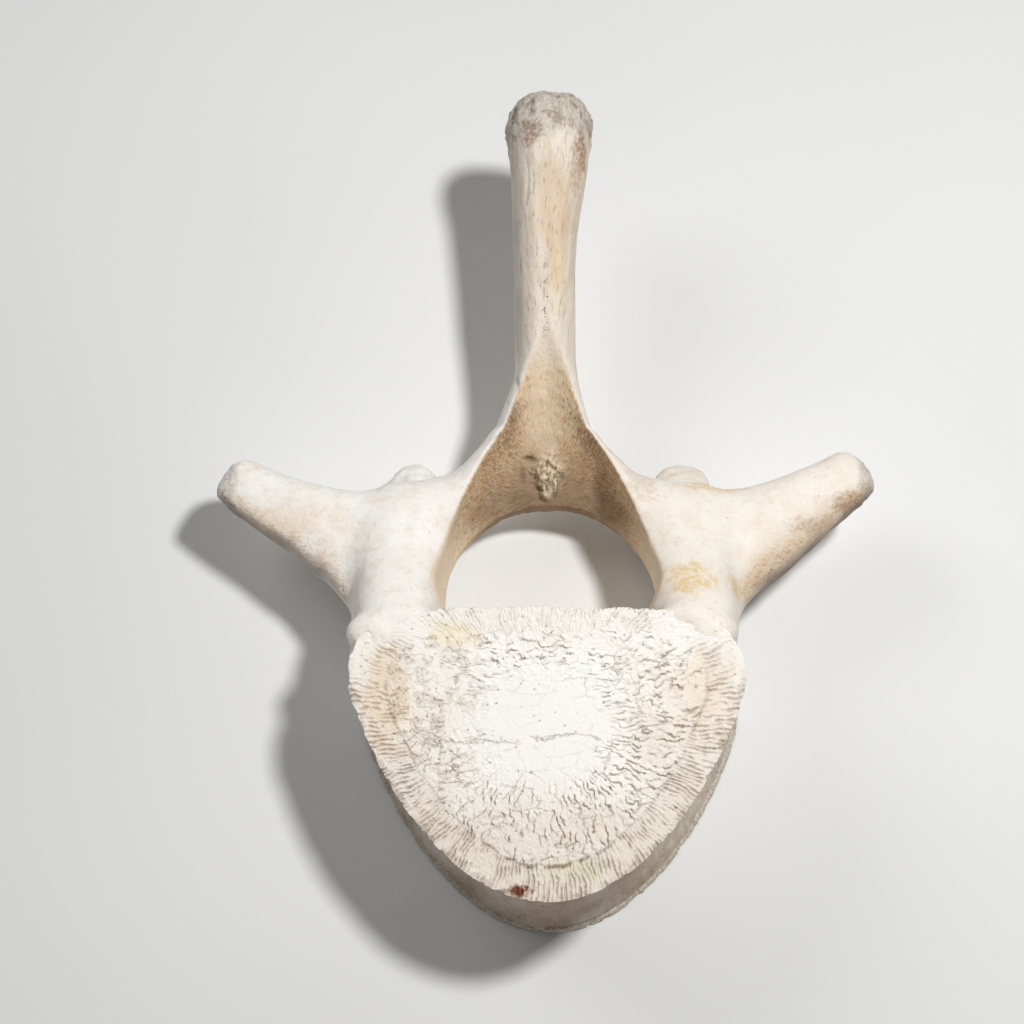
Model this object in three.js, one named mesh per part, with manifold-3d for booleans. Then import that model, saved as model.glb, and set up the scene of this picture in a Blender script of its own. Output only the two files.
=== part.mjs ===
// Whale vertebra: one thoracic vertebra of a large whale, lying on the cranial end of its body.
// Millimetres. +X is the bone's right, +Y is dorsal (towards the spine's tip) and +Z is caudal.
// The origin is the middle of the cranial end face, which is the flat that the bone lies on.
//
// Every limb of the bone is a superellipse carried along a curve. The limbs are joined to one
// body, the neural canal is cut through it, and thin cuts then part it into its named pieces.

import * as THREE from 'three';
import { LoftGeometry } from 'three/addons/geometries/LoftGeometry.js';
import { mergeVertices } from 'three/addons/utils/BufferGeometryUtils.js';
import Module from 'manifold-3d';

// ---- driving dimensions ----

const CUT = 0.3; // gap that parts two neighbouring pieces

const CENTRUM = {
	length: 180, // cranial face to caudal face
	halfWidth: 161, // at the level where it is widest
	widestY: 60, // height of that level over the middle of the face
	top: 122, // canal floor over the middle of the face
	bottom: - 118, // keel under it
	waist: 0.9, // girth at mid-length against the caudal rim
	cranialGirth: 1.03, // girth of the cranial rim against the caudal one
	cranialShift: 6, // how far the cranial end is set towards the bone's right
	waistPower: 2.4, // how far the waist's slimness reaches towards the rims
	rimRound: 7, // length over which each rim rounds off
	rimInset: 0.035, // how far the rounding draws the outline in, as a share of its size
	rimAngles: [ 0, 35, 65, 90 ], // where the rounding has a section, in degrees
	upperPowers: [ 2.8, 4.5 ], // how square the outline is above the widest level
	lowerPowers: [ 1.25, 2 ], // and how wedge-shaped below it
	around: 48,
	waistSteps: 4,
};

// Each limb: the curve that it follows, then its half sizes at the same points, first across
// (in the plane of the end faces) and then along the bone (cranial to caudal). Tip is the share
// of the curve that rounds off. A process is undercut: its ventral half is wider towards the
// back of the bone than towards the front, by this share, which gives it a sharp lower edge.

const TIP_SECTIONS = 4;
const TIP_FLAT = 0.35; // step left out of the rounding at the very end, as a share of one

const SPINE = {
	path: [
		[ 0, 238, 77 ], [ 0, 292, 90 ], [ 2, 345, 104 ], [ 1, 400, 117 ],
		[ 1, 470, 133 ], [ 5, 540, 150 ], [ 5, 592, 162 ],
	],
	across: [ 52, 47, 29, 27, 28, 35, 39 ],
	along: [ 44, 50, 50, 47, 45, 44, 41 ],
	power: 2.4,
	tip: 0.1,
	steps: 14,
	around: 28,
};

const LAMINA = {
	path: [ [ - 124, 200, 76 ], [ - 101, 225, 75 ], [ - 67, 236, 79 ], [ - 40, 257, 85 ], [ - 16, 284, 92 ] ],
	across: [ 30, 29, 32, 33, 31 ],
	along: [ 52, 50, 50, 50, 46 ],
	power: 2.4,
	tip: 0.1,
	steps: 8,
	around: 24,
};

const PEDICLE = {
	path: [
		[ - 122, 94, 98 ], [ - 124, 122, 98 ], [ - 124, 150, 93 ],
		[ - 121, 190, 82 ], [ - 113, 226, 76 ], [ - 106, 250, 75 ],
	],
	across: [ 37, 40, 40, 42, 36, 23 ],
	along: [ 72, 77, 68, 56, 49, 36 ],
	power: 2.6,
	tip: 0.06,
	steps: 9,
	around: 28,
};

const PROCESS_LEFT = {
	path: [
		[ - 96, 206, 76 ], [ - 140, 200, 77 ], [ - 174, 209, 79 ], [ - 203, 222, 81 ],
		[ - 229, 234, 83 ], [ - 256, 250, 85 ], [ - 278, 267, 87 ],
	],
	across: [ 48, 54, 43, 34, 29, 25, 20 ],
	along: [ 44, 45, 44, 42, 38, 33, 28 ],
	power: 2.7,
	undercut: 0.27,
	tip: 0.11,
	steps: 11,
	around: 26,
};

const PROCESS_RIGHT = {
	path: [
		[ 96, 206, 76 ], [ 142, 200, 77 ], [ 176, 208, 79 ], [ 203, 221, 81 ],
		[ 228, 236, 83 ], [ 256, 254, 85 ], [ 280, 274, 87 ],
	],
	across: [ 48, 56, 46, 38, 31, 26, 21 ],
	along: [ 44, 45, 44, 43, 41, 37, 31 ],
	power: 2.7,
	undercut: 0.27,
	tip: 0.11,
	steps: 11,
	around: 26,
};

const KNOB_LEFT = {
	path: [ [ - 112, 224, 66 ], [ - 115, 252, 48 ], [ - 117, 278, 31 ], [ - 117, 298, 20 ] ],
	across: [ 40, 32, 23, 16 ],
	along: [ 36, 31, 23, 15 ],
	power: 2.1,
	tip: 0.22,
	steps: 5,
	around: 22,
};

const KNOB_RIGHT = {
	path: [ [ 116, 224, 66 ], [ 122, 252, 48 ], [ 127, 278, 31 ], [ 129, 298, 20 ] ],
	across: [ 42, 35, 26, 18 ],
	along: [ 36, 31, 23, 15 ],
	power: 2.1,
	tip: 0.22,
	steps: 5,
	around: 22,
};

// The canal is narrow at its throat. Caudally it opens into a fossa that runs up the spine's
// back, and cranially it flares a little.
const CANAL = {
	floor: 122.5,
	shoulder: 160, // level of its greatest width
	throatZ: 62,
	halfWidth: 90, // at the throat
	roof: 244, // at the throat
	mouthZ: 128, // where the arch's back edge is
	mouthHalfWidth: 93,
	apexSlope: 1.3, // the fossa's rise for each millimetre towards the back
	cranialFlare: 0.12, // growth of the outline for each millimetre in front of the throat
	floorNarrowing: 12, // how far the walls draw in towards the floor, at the mouth
	shift: { throat: 6, mouth: 2 }, // how far it is set towards the bone's right
	shape: { throat: [ 2, 0.5 ], mouth: [ 1.2, 0.68 ] }, // powers of the arch: round, then pointed
	from: - 30,
	to: 236,
	steps: 10,
	side: 12, // points up each side of the outline
};

// Planes that part the pieces: a point on the plane, in the right half of the bone, the way
// that the piece lies from it, and how far the cut reaches along the plane and beyond it.
const PARTING = {
	knob: { point: [ 128, 263, 24 ], towards: [ 0, 0.72, - 0.69 ], width: 90, height: 110, depth: 90 },
	process: { point: [ 153, 200, 90 ], towards: [ 0.976, 0.217, 0 ], width: 144, height: 260, depth: 190 },
	spine: { point: [ 0, 304, 94 ], towards: [ 0, 0.975, 0.22 ], width: 170, height: 240, depth: 340 },
	arch: { point: [ 0, 228, 76 ], towards: [ 0, 1, 0 ], width: 400, height: 260, depth: 120 },
	midline: { point: [ 0, 270, 76 ], towards: [ 1, 0, 0 ], width: 200, height: 260, depth: 200 },
	pedicle: { point: [ 132, 113.4, 90 ], towards: [ 0.214, 0.977, 0 ], width: 118, height: 260, depth: 150 },
};

const BONE = new THREE.Color( 0.84, 0.79, 0.71 );
const SPONGY_BONE = new THREE.Color( 0.8, 0.75, 0.66 );

const wasm = await Module();
wasm.setup();

// ---- solids ----

function toSolid( geometry ) {

	const bare = new THREE.BufferGeometry();
	bare.setAttribute( 'position', geometry.attributes.position );
	bare.setIndex( geometry.index );
	const merged = mergeVertices( bare, 1e-3 );
	return new wasm.Manifold( new wasm.Mesh( {
		numProp: 3,
		vertProperties: merged.attributes.position.array,
		triVerts: new Uint32Array( merged.index.array ),
	} ) );

}

function toGeometry( solid ) {

	const mesh = solid.getMesh();
	const geometry = new THREE.BufferGeometry();
	geometry.setAttribute( 'position', new THREE.BufferAttribute( mesh.vertProperties, 3 ) );
	geometry.setIndex( new THREE.BufferAttribute( mesh.triVerts, 1 ) );
	return geometry;

}

function mirrored( limb ) {

	return { ...limb, path: limb.path.map( ( [ x, y, z ] ) => [ - x, y, z ] ) };

}

// A value read off evenly spaced stations with a smooth curve, at t from 0 to 1.
function along( values, t ) {

	const curve = new THREE.SplineCurve( values.map( ( v, i ) => new THREE.Vector2( i, v ) ) );
	return curve.getPoint( t ).y;

}

// Stations of a limb: even steps up to where the tip begins, then the quarter of a superellipse
// of the limb's own power.
function stations( { tip, steps, power } ) {

	const list = [];
	for ( let i = 0; i <= steps; i ++ ) list.push( { t: ( 1 - tip ) * i / steps, scale: 1 } );
	for ( let i = 1; i <= TIP_SECTIONS; i ++ ) {

		const angle = Math.PI / 2 * i / ( TIP_SECTIONS + TIP_FLAT );
		list.push( { t: 1 - tip + tip * Math.sin( angle ) ** ( 2 / power ), scale: Math.cos( angle ) ** ( 2 / power ) } );

	}

	return list;

}

// A superellipse carried along a curve. It stays across the curve in the plane of the end
// faces, and its second axis is always the bone's length.
function limbSolid( limb ) {

	const { power, undercut = 0 } = limb;
	const curve = new THREE.CatmullRomCurve3( limb.path.map( ( p ) => new THREE.Vector3( ...p ) ) );
	const sections = stations( limb ).map( ( { t, scale } ) => {

		const centre = curve.getPoint( t );
		const heading = curve.getTangent( t );
		const across = new THREE.Vector3( heading.y, - heading.x, 0 ).normalize();
		const halfAcross = along( limb.across, t ) * scale;
		const halfAlong = along( limb.along, t ) * scale;
		const ring = [];
		for ( let j = 0; j < limb.around; j ++ ) {

			const angle = - 2 * Math.PI * j / limb.around;
			const c = Math.cos( angle );
			const s = Math.sin( angle );
			const ventral = Math.sign( heading.x ) * c > 0;
			const b = Math.sign( s ) * Math.abs( s ) ** ( 2 / power );
			const a = Math.sign( c ) * Math.abs( c ) ** ( 2 / power ) * ( ventral ? 1 + undercut * b : 1 );
			const offset = new THREE.Vector3( 0, 0, b * halfAlong );
			ring.push( centre.clone().addScaledVector( across, a * halfAcross ).add( offset ) );

		}

		return ring;

	} );
	return toSolid( new LoftGeometry( sections, { capStart: true, capEnd: true } ) );

}

// Outline of the end faces: a superellipse that is square above its widest level and
// wedge-shaped below it.
function facePoint( angle, girth ) {

	const { halfWidth, widestY, top, bottom, upperPowers, lowerPowers } = CENTRUM;
	const s = Math.sin( angle );
	const c = Math.cos( angle );
	const [ p, q ] = s > 0 ? upperPowers : lowerPowers;
	const height = s > 0 ? top - widestY : widestY - bottom;
	const x = Math.sign( c ) * Math.abs( c ) ** ( 2 / q ) * halfWidth;
	const y = Math.sign( s ) * Math.abs( s ) ** ( 2 / p ) * height + widestY;
	return new THREE.Vector2( x * girth, y * girth );

}

// The body of the vertebra: its outline carried from end to end, with rounded rims and a waist.
// The cranial end is a little larger, and set to the right.
function centrumSolid() {

	const { length, waist, waistPower, waistSteps, around, cranialGirth, cranialShift } = CENTRUM;
	const { rimRound, rimInset, rimAngles } = CENTRUM;
	const levels = [];
	for ( const angle of rimAngles.map( THREE.MathUtils.degToRad ) ) {

		levels.push( { z: rimRound * ( 1 - Math.cos( angle ) ), girth: 1 - rimInset * ( 1 - Math.sin( angle ) ) } );

	}

	for ( let i = 1; i <= waistSteps; i ++ ) {

		const z = rimRound + ( length / 2 - rimRound ) * i / waistSteps;
		const fromMiddle = Math.abs( 1 - 2 * z / length );
		levels.push( { z, girth: waist + ( 1 - waist ) * fromMiddle ** waistPower } );

	}

	const mirroredLevels = levels.slice( 0, - 1 ).reverse().map( ( { z, girth } ) => ( { z: length - z, girth } ) );
	const sections = [ ...levels, ...mirroredLevels ].map( ( { z, girth } ) => {

		const ring = [];
		const cranial = 1 - z / length;
		const size = girth * ( 1 + ( cranialGirth - 1 ) * cranial );
		for ( let j = 0; j < around; j ++ ) {

			const { x, y } = facePoint( 2 * Math.PI * j / around, size );
			ring.push( new THREE.Vector3( x + cranialShift * cranial, Math.min( y, CENTRUM.top ), z ) );

		}

		return ring;

	} );
	return toSolid( new LoftGeometry( sections, { capStart: true, capEnd: true } ) );

}

// The canal and the fossa behind it, as the solid to cut away. Its outline is a flat floor
// under an arch, half an ellipse at the throat and drawn up to a point at the mouth. The arch's
// half width at a height u, from 0 at the shoulder to 1 at the apex, is (1 - u^m)^k.
function canalSolid() {

	const { floor, shoulder, throatZ, halfWidth, roof, mouthZ, mouthHalfWidth, apexSlope } = CANAL;
	const { cranialFlare, floorNarrowing, shift, shape, from, to, steps, side } = CANAL;
	const { lerp } = THREE.MathUtils;
	const depths = [ from, ( from + throatZ ) / 2 ];
	for ( let i = 0; i <= steps; i ++ ) depths.push( lerp( throatZ, to, i / steps ) );
	const sections = depths.map( ( z ) => {

		const back = Math.max( 0, z - throatZ );
		const front = Math.max( 0, throatZ - z ) * cranialFlare;
		const opening = Math.min( back / ( mouthZ - throatZ ), 1 );
		const half = lerp( halfWidth, mouthHalfWidth, opening ) + front;
		const floorHalf = half - floorNarrowing * opening;
		const middle = lerp( shift.throat, shift.mouth, opening );
		const apex = roof + apexSlope * back + front;
		const [ m, k ] = shape.throat.map( ( v, i ) => lerp( v, shape.mouth[ i ], opening ) );
		const ring = [];
		for ( let j = 0; j <= 2 * side; j ++ ) {

			const angle = Math.PI * j / ( 2 * side );
			const u = Math.min( 1, Math.sin( angle ) );
			const x = Math.sign( side - j ) * ( 1 - u ** m ) ** k * half;
			ring.push( new THREE.Vector3( middle + x, shoulder + u * ( apex - shoulder ), z ) );

		}

		ring.push( new THREE.Vector3( middle - floorHalf, floor, z ) );
		ring.push( new THREE.Vector3( middle + floorHalf, floor, z ) );
		return ring;

	} );
	return toSolid( new LoftGeometry( sections, { capStart: true, capEnd: true } ) );

}

// ---- parting ----

// A box whose near face lies in the parting plane, on the side of the piece, moved back by
// the given gap.
function partingBox( { point, towards, width, height, depth }, side, gap ) {

	const normal = new THREE.Vector3( towards[ 0 ] * side, towards[ 1 ], towards[ 2 ] ).normalize();
	const box = new THREE.BoxGeometry( width, height, depth + gap );
	const turn = new THREE.Matrix4().lookAt( normal, new THREE.Vector3(), new THREE.Vector3( 0, 0, 1 ) );
	box.applyMatrix4( turn );
	const centre = new THREE.Vector3( point[ 0 ] * side, point[ 1 ], point[ 2 ] )
		.addScaledVector( normal, ( depth - gap ) / 2 );
	box.translate( centre.x, centre.y, centre.z );
	return toSolid( box );

}

function largest( solid ) {

	return solid.decompose().reduce( ( best, next ) => ( next.volume() > best.volume() ? next : best ) );

}

// Takes the piece beyond a parting plane off the body, and leaves a thin gap behind it.
function part( body, plane, side = 1 ) {

	const piece = largest( body.intersect( partingBox( plane, side, 0 ) ) );
	const rest = largest( body.subtract( partingBox( plane, side, CUT ) ) );
	return { piece, rest };

}

// ---- the bone ----

const limbs = [
	limbSolid( SPINE ),
	limbSolid( LAMINA ), limbSolid( mirrored( LAMINA ) ),
	limbSolid( PEDICLE ), limbSolid( mirrored( PEDICLE ) ),
	limbSolid( PROCESS_LEFT ), limbSolid( PROCESS_RIGHT ),
	limbSolid( KNOB_LEFT ), limbSolid( KNOB_RIGHT ),
];
let body = limbs.reduce( ( joined, limb ) => joined.add( limb ) );
body = body.subtract( canalSolid() ).add( centrumSolid() );

const bone = new THREE.Group();
bone.name = 'whale_vertebra';

function place( name, solid, colour, roughness ) {

	const material = new THREE.MeshStandardMaterial( { color: colour, roughness, metalness: 0 } );
	const mesh = new THREE.Mesh( toGeometry( solid ), material );
	mesh.name = name;
	bone.add( mesh );

}

for ( const [ hand, side ] of [ [ 'left', - 1 ], [ 'right', 1 ] ] ) {

	const knob = part( body, PARTING.knob, side );
	place( `metapophysis_${ hand }`, knob.piece, BONE, 0.75 );
	const process = part( knob.rest, PARTING.process, side );
	place( `transverse_process_${ hand }`, process.piece, BONE, 0.75 );
	body = process.rest;

}

const spine = part( body, PARTING.spine );
place( 'neural_spine', spine.piece, BONE, 0.75 );
const arch = part( spine.rest, PARTING.arch );
const halves = part( arch.piece, PARTING.midline );
place( 'lamina_right', halves.piece, BONE, 0.75 );
place( 'lamina_left', halves.rest, BONE, 0.75 );
body = arch.rest;

for ( const [ hand, side ] of [ [ 'left', - 1 ], [ 'right', 1 ] ] ) {

	const pedicle = part( body, PARTING.pedicle, side );
	body = pedicle.rest;
	place( `pedicle_${ hand }`, pedicle.piece, BONE, 0.75 );

}

place( 'centrum', body, SPONGY_BONE, 0.85 );

export default bone;
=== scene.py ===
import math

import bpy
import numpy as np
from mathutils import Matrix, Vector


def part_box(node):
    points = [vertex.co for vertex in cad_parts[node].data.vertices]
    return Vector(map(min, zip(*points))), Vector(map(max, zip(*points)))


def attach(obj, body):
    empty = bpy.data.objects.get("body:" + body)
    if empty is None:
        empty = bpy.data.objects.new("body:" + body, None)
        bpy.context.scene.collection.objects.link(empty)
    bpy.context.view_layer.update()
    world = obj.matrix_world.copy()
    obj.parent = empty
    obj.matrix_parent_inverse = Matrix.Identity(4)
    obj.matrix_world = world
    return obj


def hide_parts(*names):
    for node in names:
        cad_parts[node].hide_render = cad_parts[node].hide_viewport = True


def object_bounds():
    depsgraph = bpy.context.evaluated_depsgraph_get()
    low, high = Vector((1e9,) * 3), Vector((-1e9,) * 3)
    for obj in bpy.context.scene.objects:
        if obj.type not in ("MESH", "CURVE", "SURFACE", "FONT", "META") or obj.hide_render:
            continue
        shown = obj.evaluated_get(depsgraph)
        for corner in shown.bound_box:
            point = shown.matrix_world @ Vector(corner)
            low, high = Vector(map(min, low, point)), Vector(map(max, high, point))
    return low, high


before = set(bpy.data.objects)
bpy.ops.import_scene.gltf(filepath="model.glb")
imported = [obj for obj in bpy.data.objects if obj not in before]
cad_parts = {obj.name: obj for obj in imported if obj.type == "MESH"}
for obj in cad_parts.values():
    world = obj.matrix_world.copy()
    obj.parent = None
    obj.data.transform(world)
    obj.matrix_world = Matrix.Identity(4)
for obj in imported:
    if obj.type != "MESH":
        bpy.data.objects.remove(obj)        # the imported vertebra: ten nodes that are one bone
cad_low, cad_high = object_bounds()

# Whale vertebra, lying on the cranial end of its body with the caudal end up.
# One field describes the whole bone: each limb is a superellipse carried along a curve, the
# limbs run softly into each other, and the neural canal is cut through them. A net of quads
# is drawn over the field, sculpted, and parted into pieces whose seams don't show. The two
# end faces are plates of their own, with the open growth surface of a young bone.
# Lengths are millimetres until a mesh is made. +X right, +Y dorsal, +Z caudal.

MM = 0.001

# ---- driving sizes, from the frame ----

CENTRUM_LOW, CENTRUM_HIGH = (np.array(corner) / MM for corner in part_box("centrum"))
LENGTH = CENTRUM_HIGH[2] - CENTRUM_LOW[2]
HALF_WIDTH = -CENTRUM_LOW[0]
CRANIAL_GIRTH = 1.03                    # the cranial end against the caudal one
CRANIAL_SHIFT = 6.0                     # and how far it is set towards the right
WAIST = 0.9                             # girth at mid-length
WAIST_POWER = 2.4                       # how long the rims keep their girth
KEEL = CENTRUM_LOW[1] / CRANIAL_GIRTH   # lowest point of the caudal face
CANAL_FLOOR = CENTRUM_HIGH[1] - 1.0
WIDEST = 60.0                           # level of the greatest width
# Power of x, power of y and height of the outline, above the widest level and below it.
UPPER_OUTLINE = (4.5, 2.8, CANAL_FLOOR - 0.5 - WIDEST)
LOWER_OUTLINE = (2.0, 1.25, WIDEST - KEEL)

VOXEL = 1.6           # grid of the field
MARGIN = 4 * VOXEL                      # how far the grid goes past the bone
SETTLING = 4                            # rounds of evening out the net
CURVE_SAMPLES = 90                      # of a limb's curve
OUTLINE_SAMPLES = 4001                  # of the end faces' outline
FACE_GRID = 440       # grid lines across the caudal face
SEED = 7


# ---- noise ----

def lattice_value(cells, seed):
    """A repeatable random number in 0..1 for each whole-number cell: its coordinates are
    multiplied by large odd numbers, mixed by shifts, and the low 24 bits are kept."""
    with np.errstate(over="ignore"):
        mixed = (cells[..., 0].astype(np.uint32) * np.uint32(374761393)
                 + cells[..., 1].astype(np.uint32) * np.uint32(668265263)
                 + cells[..., 2].astype(np.uint32) * np.uint32(2147483647)
                 + np.uint32(seed) * np.uint32(3266489917))
        mixed = (mixed ^ (mixed >> np.uint32(13))) * np.uint32(1274126177)
        mixed = (mixed ^ (mixed >> np.uint32(15))) * np.uint32(2246822519)
        mixed = mixed ^ (mixed >> np.uint32(16))
    return (mixed & np.uint32(0xFFFFFF)).astype(np.float64) / 0xFFFFFF


def blend_corners(part, value_at):
    """The values at the eight corners of each point's cell, each weighted by how near the
    point lies to it along each axis."""
    total = 0.0
    for corner in np.ndindex(2, 2, 2):
        weight = np.prod(np.where(corner, part, 1 - part), axis=-1)
        total = total + weight * value_at(np.array(corner))
    return total


def value_noise(places, seed):
    """Smooth noise in -1..1: random numbers at whole places, blended by t*t*(3 - 2t)."""
    base = np.floor(places).astype(np.int64)
    part = places - base
    part = part * part * (3 - 2 * part)
    return 2 * blend_corners(part, lambda corner: lattice_value(base + corner, seed)) - 1


def fractal(places, size, octaves=3, seed=0, fall=0.5):
    """Noise at one size plus finer layers, each half the size and `fall` of the strength.
    size is one length, or one for each axis, which stretches the grain."""
    total = 0.0
    reach = 0.0
    for octave in range(octaves):
        strength = fall ** octave
        scale = np.asarray(size, float) / 2 ** octave
        total = total + strength * value_noise(places / scale + 17.3 * octave, seed + 31 * octave)
        reach += strength
    return total / reach


def cell_distance(places, size, seed, axes=3):
    """Distances, in cells, to the nearest and second nearest of one random dot in each cell,
    in space or, with two axes, in the plane."""
    scaled = places / np.asarray(size, float)
    base = np.floor(scaled).astype(np.int64)
    near = np.full(len(places), np.inf)
    second = near
    for step in np.ndindex(3, 3, 3 if axes == 3 else 1):
        cell = base + np.array(step) - 1
        gap = 0.0
        for axis in range(axes):
            dot = cell[..., axis] + lattice_value(cell, seed + 101 * (axis + 1))
            gap = gap + (scaled[..., axis] - dot) ** 2
        gap = np.sqrt(gap)
        second = np.minimum(second, np.maximum(near, gap))
        near = np.minimum(near, gap)
    return near, second


def ramp(value, start, end):
    """0 before start, 1 after end, and smooth between; start may be the larger."""
    t = np.clip((value - start) / (end - start), 0, 1)
    return t * t * (3 - 2 * t)


def hump(distance, radius):
    """1 in the middle, falling smoothly to 0 at the radius."""
    return ramp(distance, radius, 0)


# ---- the field: limbs, canal and body ----

# A limb's stations, each (x, y, z, half size across, half size along the bone). Across lies
# in the plane of the end faces, at right angles to the limb.
SPINE = [
    (0, 236, 77, 52, 44), (0, 290, 90, 46, 50), (2, 345, 104, 28, 50), (1, 400, 117, 27, 47),
    (1, 470, 133, 28, 45), (5, 540, 150, 35, 44), (5, 591, 162, 39, 42),
]
LAMINA = [
    (-124, 200, 76, 30, 52), (-101, 225, 75, 28, 50), (-67, 236, 79, 31, 50),
    (-40, 257, 85, 33, 50), (-16, 284, 92, 31, 46),
]
PEDICLE = [
    (-122, 98, 98, 37, 70), (-124, 122, 98, 40, 78), (-124, 150, 93, 40, 68),
    (-121, 190, 82, 42, 56), (-113, 226, 76, 36, 49), (-106, 250, 75, 23, 36),
]
PROCESS_LEFT = [
    (-96, 206, 76, 48, 44), (-140, 200, 77, 54, 45), (-174, 209, 79, 43, 44), (-203, 222, 81, 34, 42),
    (-229, 234, 83, 29, 38), (-256, 250, 85, 25, 33), (-277, 266, 87, 20, 28),
]
PROCESS_RIGHT = [
    (96, 206, 76, 48, 44), (142, 200, 77, 56, 45), (176, 208, 79, 46, 44), (203, 221, 81, 38, 43),
    (228, 236, 83, 31, 41), (256, 254, 85, 26, 37), (278, 272, 87, 21, 31),
]
KNOB_LEFT = [
    (-112, 224, 66, 40, 36), (-115, 252, 48, 31, 31), (-117, 278, 31, 22, 23), (-117, 297, 20, 14, 15),
]
KNOB_RIGHT = [
    (116, 224, 66, 42, 36), (122, 252, 48, 34, 31), (127, 278, 31, 25, 23), (129, 297, 20, 16, 15),
]

# limb, power of its section, length of its round tip, softness of its join, and how much its
# underside is undercut, which gives the processes their sharp lower edge
LIMBS = [
    (SPINE, 2.4, 34, 14, 0.0),
    (LAMINA, 2.4, 12, 12, 0.0), ([(-x, *rest) for x, *rest in LAMINA], 2.4, 12, 12, 0.0),
    (PEDICLE, 2.6, 10, 16, 0.0), ([(-x, *rest) for x, *rest in PEDICLE], 2.6, 10, 16, 0.0),
    (PROCESS_LEFT, 2.7, 18, 22, 0.27), (PROCESS_RIGHT, 2.7, 18, 22, 0.27),
    (KNOB_LEFT, 2.1, 14, 14, 0.0), (KNOB_RIGHT, 2.1, 14, 14, 0.0),
]

THROAT_Z = 62.0          # where the canal is narrowest
THROAT_HALF_WIDTH = 90.0
THROAT_ROOF = 244.0
MOUTH_Z = 128.0          # back edge of the arch
MOUTH_HALF_WIDTH = 93.0
SHOULDER = 160.0         # level where the canal is widest
APEX_SLOPE = 1.3         # rise of the hollow over the canal for each millimetre towards the back
CRANIAL_FLARE = 0.12
FLOOR_NARROWING = 12.0   # how far the walls draw in at the floor, towards the back
THROAT_OFFSET = 6.0      # the throat lies towards the right, and the mouth less so
MOUTH_OFFSET = 2.0
THROAT_SHAPE = (2.0, 0.5)      # m and k of the canal's arch at the throat
MOUTH_SHAPE = (1.2, 0.68)      # and at the mouth

# Smooth swellings where the pedicles run into the corners of the caudal face: centre, half sizes.
LUMPS = [
    ((-138, 103, 162), (26, 19, 18.5)), ((-150, 80, 157), (12, 17, 18.5)),
    ((-117, 116, 162), (26, 14, 18)), ((134, 106, 162), (24, 17, 18)), ((116, 117, 162), (22, 13, 18)),
]

FAR = 60.0               # the field's value away from the bone
CANAL_ROUNDING = 6.0     # over how much distance the edges and joins are rounded
RIM_ROUNDING = 7.0
LUMP_ROUNDING = 7.0
BODY_ROUNDING = 9.0
ROOT_CLEARANCE = 8.0     # how far the limbs' roots stay under the floor of the canal
LIMB_CLEARANCE = 6.0     # how far past a limb's reach its field is worked out
PLATE_DEPTH = 5.5        # how far the body stops short under the plates of the end faces


def smooth_through(stations, count):
    """Catmull-Rom curve through the stations, at `count` even steps: between two of them each
    value is the cubic whose end slopes are half the difference of the neighbours."""
    rows = np.asarray(stations, float)
    padded = np.vstack([2 * rows[0] - rows[1], rows, 2 * rows[-1] - rows[-2]])
    place = np.linspace(0, len(rows) - 1, count)
    index = np.minimum(place.astype(int), len(rows) - 2)
    t = (place - index)[:, None]
    a, b, c, d = (padded[index + step] for step in range(4))
    cubic = 3 * b - a - 3 * c + d
    return 0.5 * (2 * b + (c - a) * t + (2 * a - 5 * b + 4 * c - d) * t ** 2 + cubic * t ** 3)


def limb_plan(stations, tip, x, y):
    """What a limb says about points of the plane: how far they lie across it, whether on its
    ventral side, how far past its ends, and its centre height and half sizes there. Each point
    takes the nearest sample of the limb's curve, moved along the curve's heading."""
    line = smooth_through(stations, CURVE_SAMPLES)
    steps = np.hypot(*np.diff(line[:, :2], axis=0).T)
    travelled = np.concatenate([[0], np.cumsum(steps)])
    heading = np.gradient(line[:, :2], axis=0)
    heading /= np.linalg.norm(heading, axis=1)[:, None]
    gap = (x[..., None] - line[:, 0]) ** 2 + (y[..., None] - line[:, 1]) ** 2
    nearest = np.argmin(gap, axis=-1)
    dx = x - line[nearest, 0]
    dy = y - line[nearest, 1]
    ahead = dx * heading[nearest, 0] + dy * heading[nearest, 1]
    across = dx * heading[nearest, 1] - dy * heading[nearest, 0]
    below = np.sign(heading[nearest, 0]) * across > 0
    at = travelled[nearest] + ahead
    centre, half_across, half_along = (np.interp(at, travelled, line[:, column]) for column in (2, 3, 4))
    tip_past = np.maximum(0, at - (travelled[-1] - tip)) / tip
    root = line[0, 3]
    root_past = np.maximum(0, -at) / root
    past = np.maximum(tip_past, root_past)
    past_length = np.maximum(tip_past * tip, root_past * root)
    return across, below, past, past_length, centre, half_across, half_along


def limb_distance(plan, power, z, undercut):
    """Distance from a limb's surface, negative inside: along the ray from the limb's middle,
    r - r/q, where q is the superellipse's own measure of how far out the point lies. With an
    undercut the ventral half is wider towards the back of the bone than towards its front."""
    across, below, past, past_length, centre, half_across, half_along = plan
    height = z - centre
    half_across = half_across * (1 + undercut * below * np.clip(height / half_along, -1, 1))
    flat = (np.abs(across) / half_across) ** power + past ** power
    q = (flat + (np.abs(height) / half_along) ** power) ** (1 / power)
    radius = np.sqrt(across ** 2 + past_length ** 2 + height ** 2)
    return radius - radius / np.maximum(q, 1e-3)


def soft_union(a, b, softness):
    """The smaller of two distances, rounded where they are within `softness` of each other."""
    mix = np.clip(0.5 + 0.5 * (b - a) / softness, 0, 1)
    return b + (a - b) * mix - softness * mix * (1 - mix)


def soft_cut(a, b, softness):
    """a with b taken away, the edge rounded."""
    return -soft_union(-a, b, softness)


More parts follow.
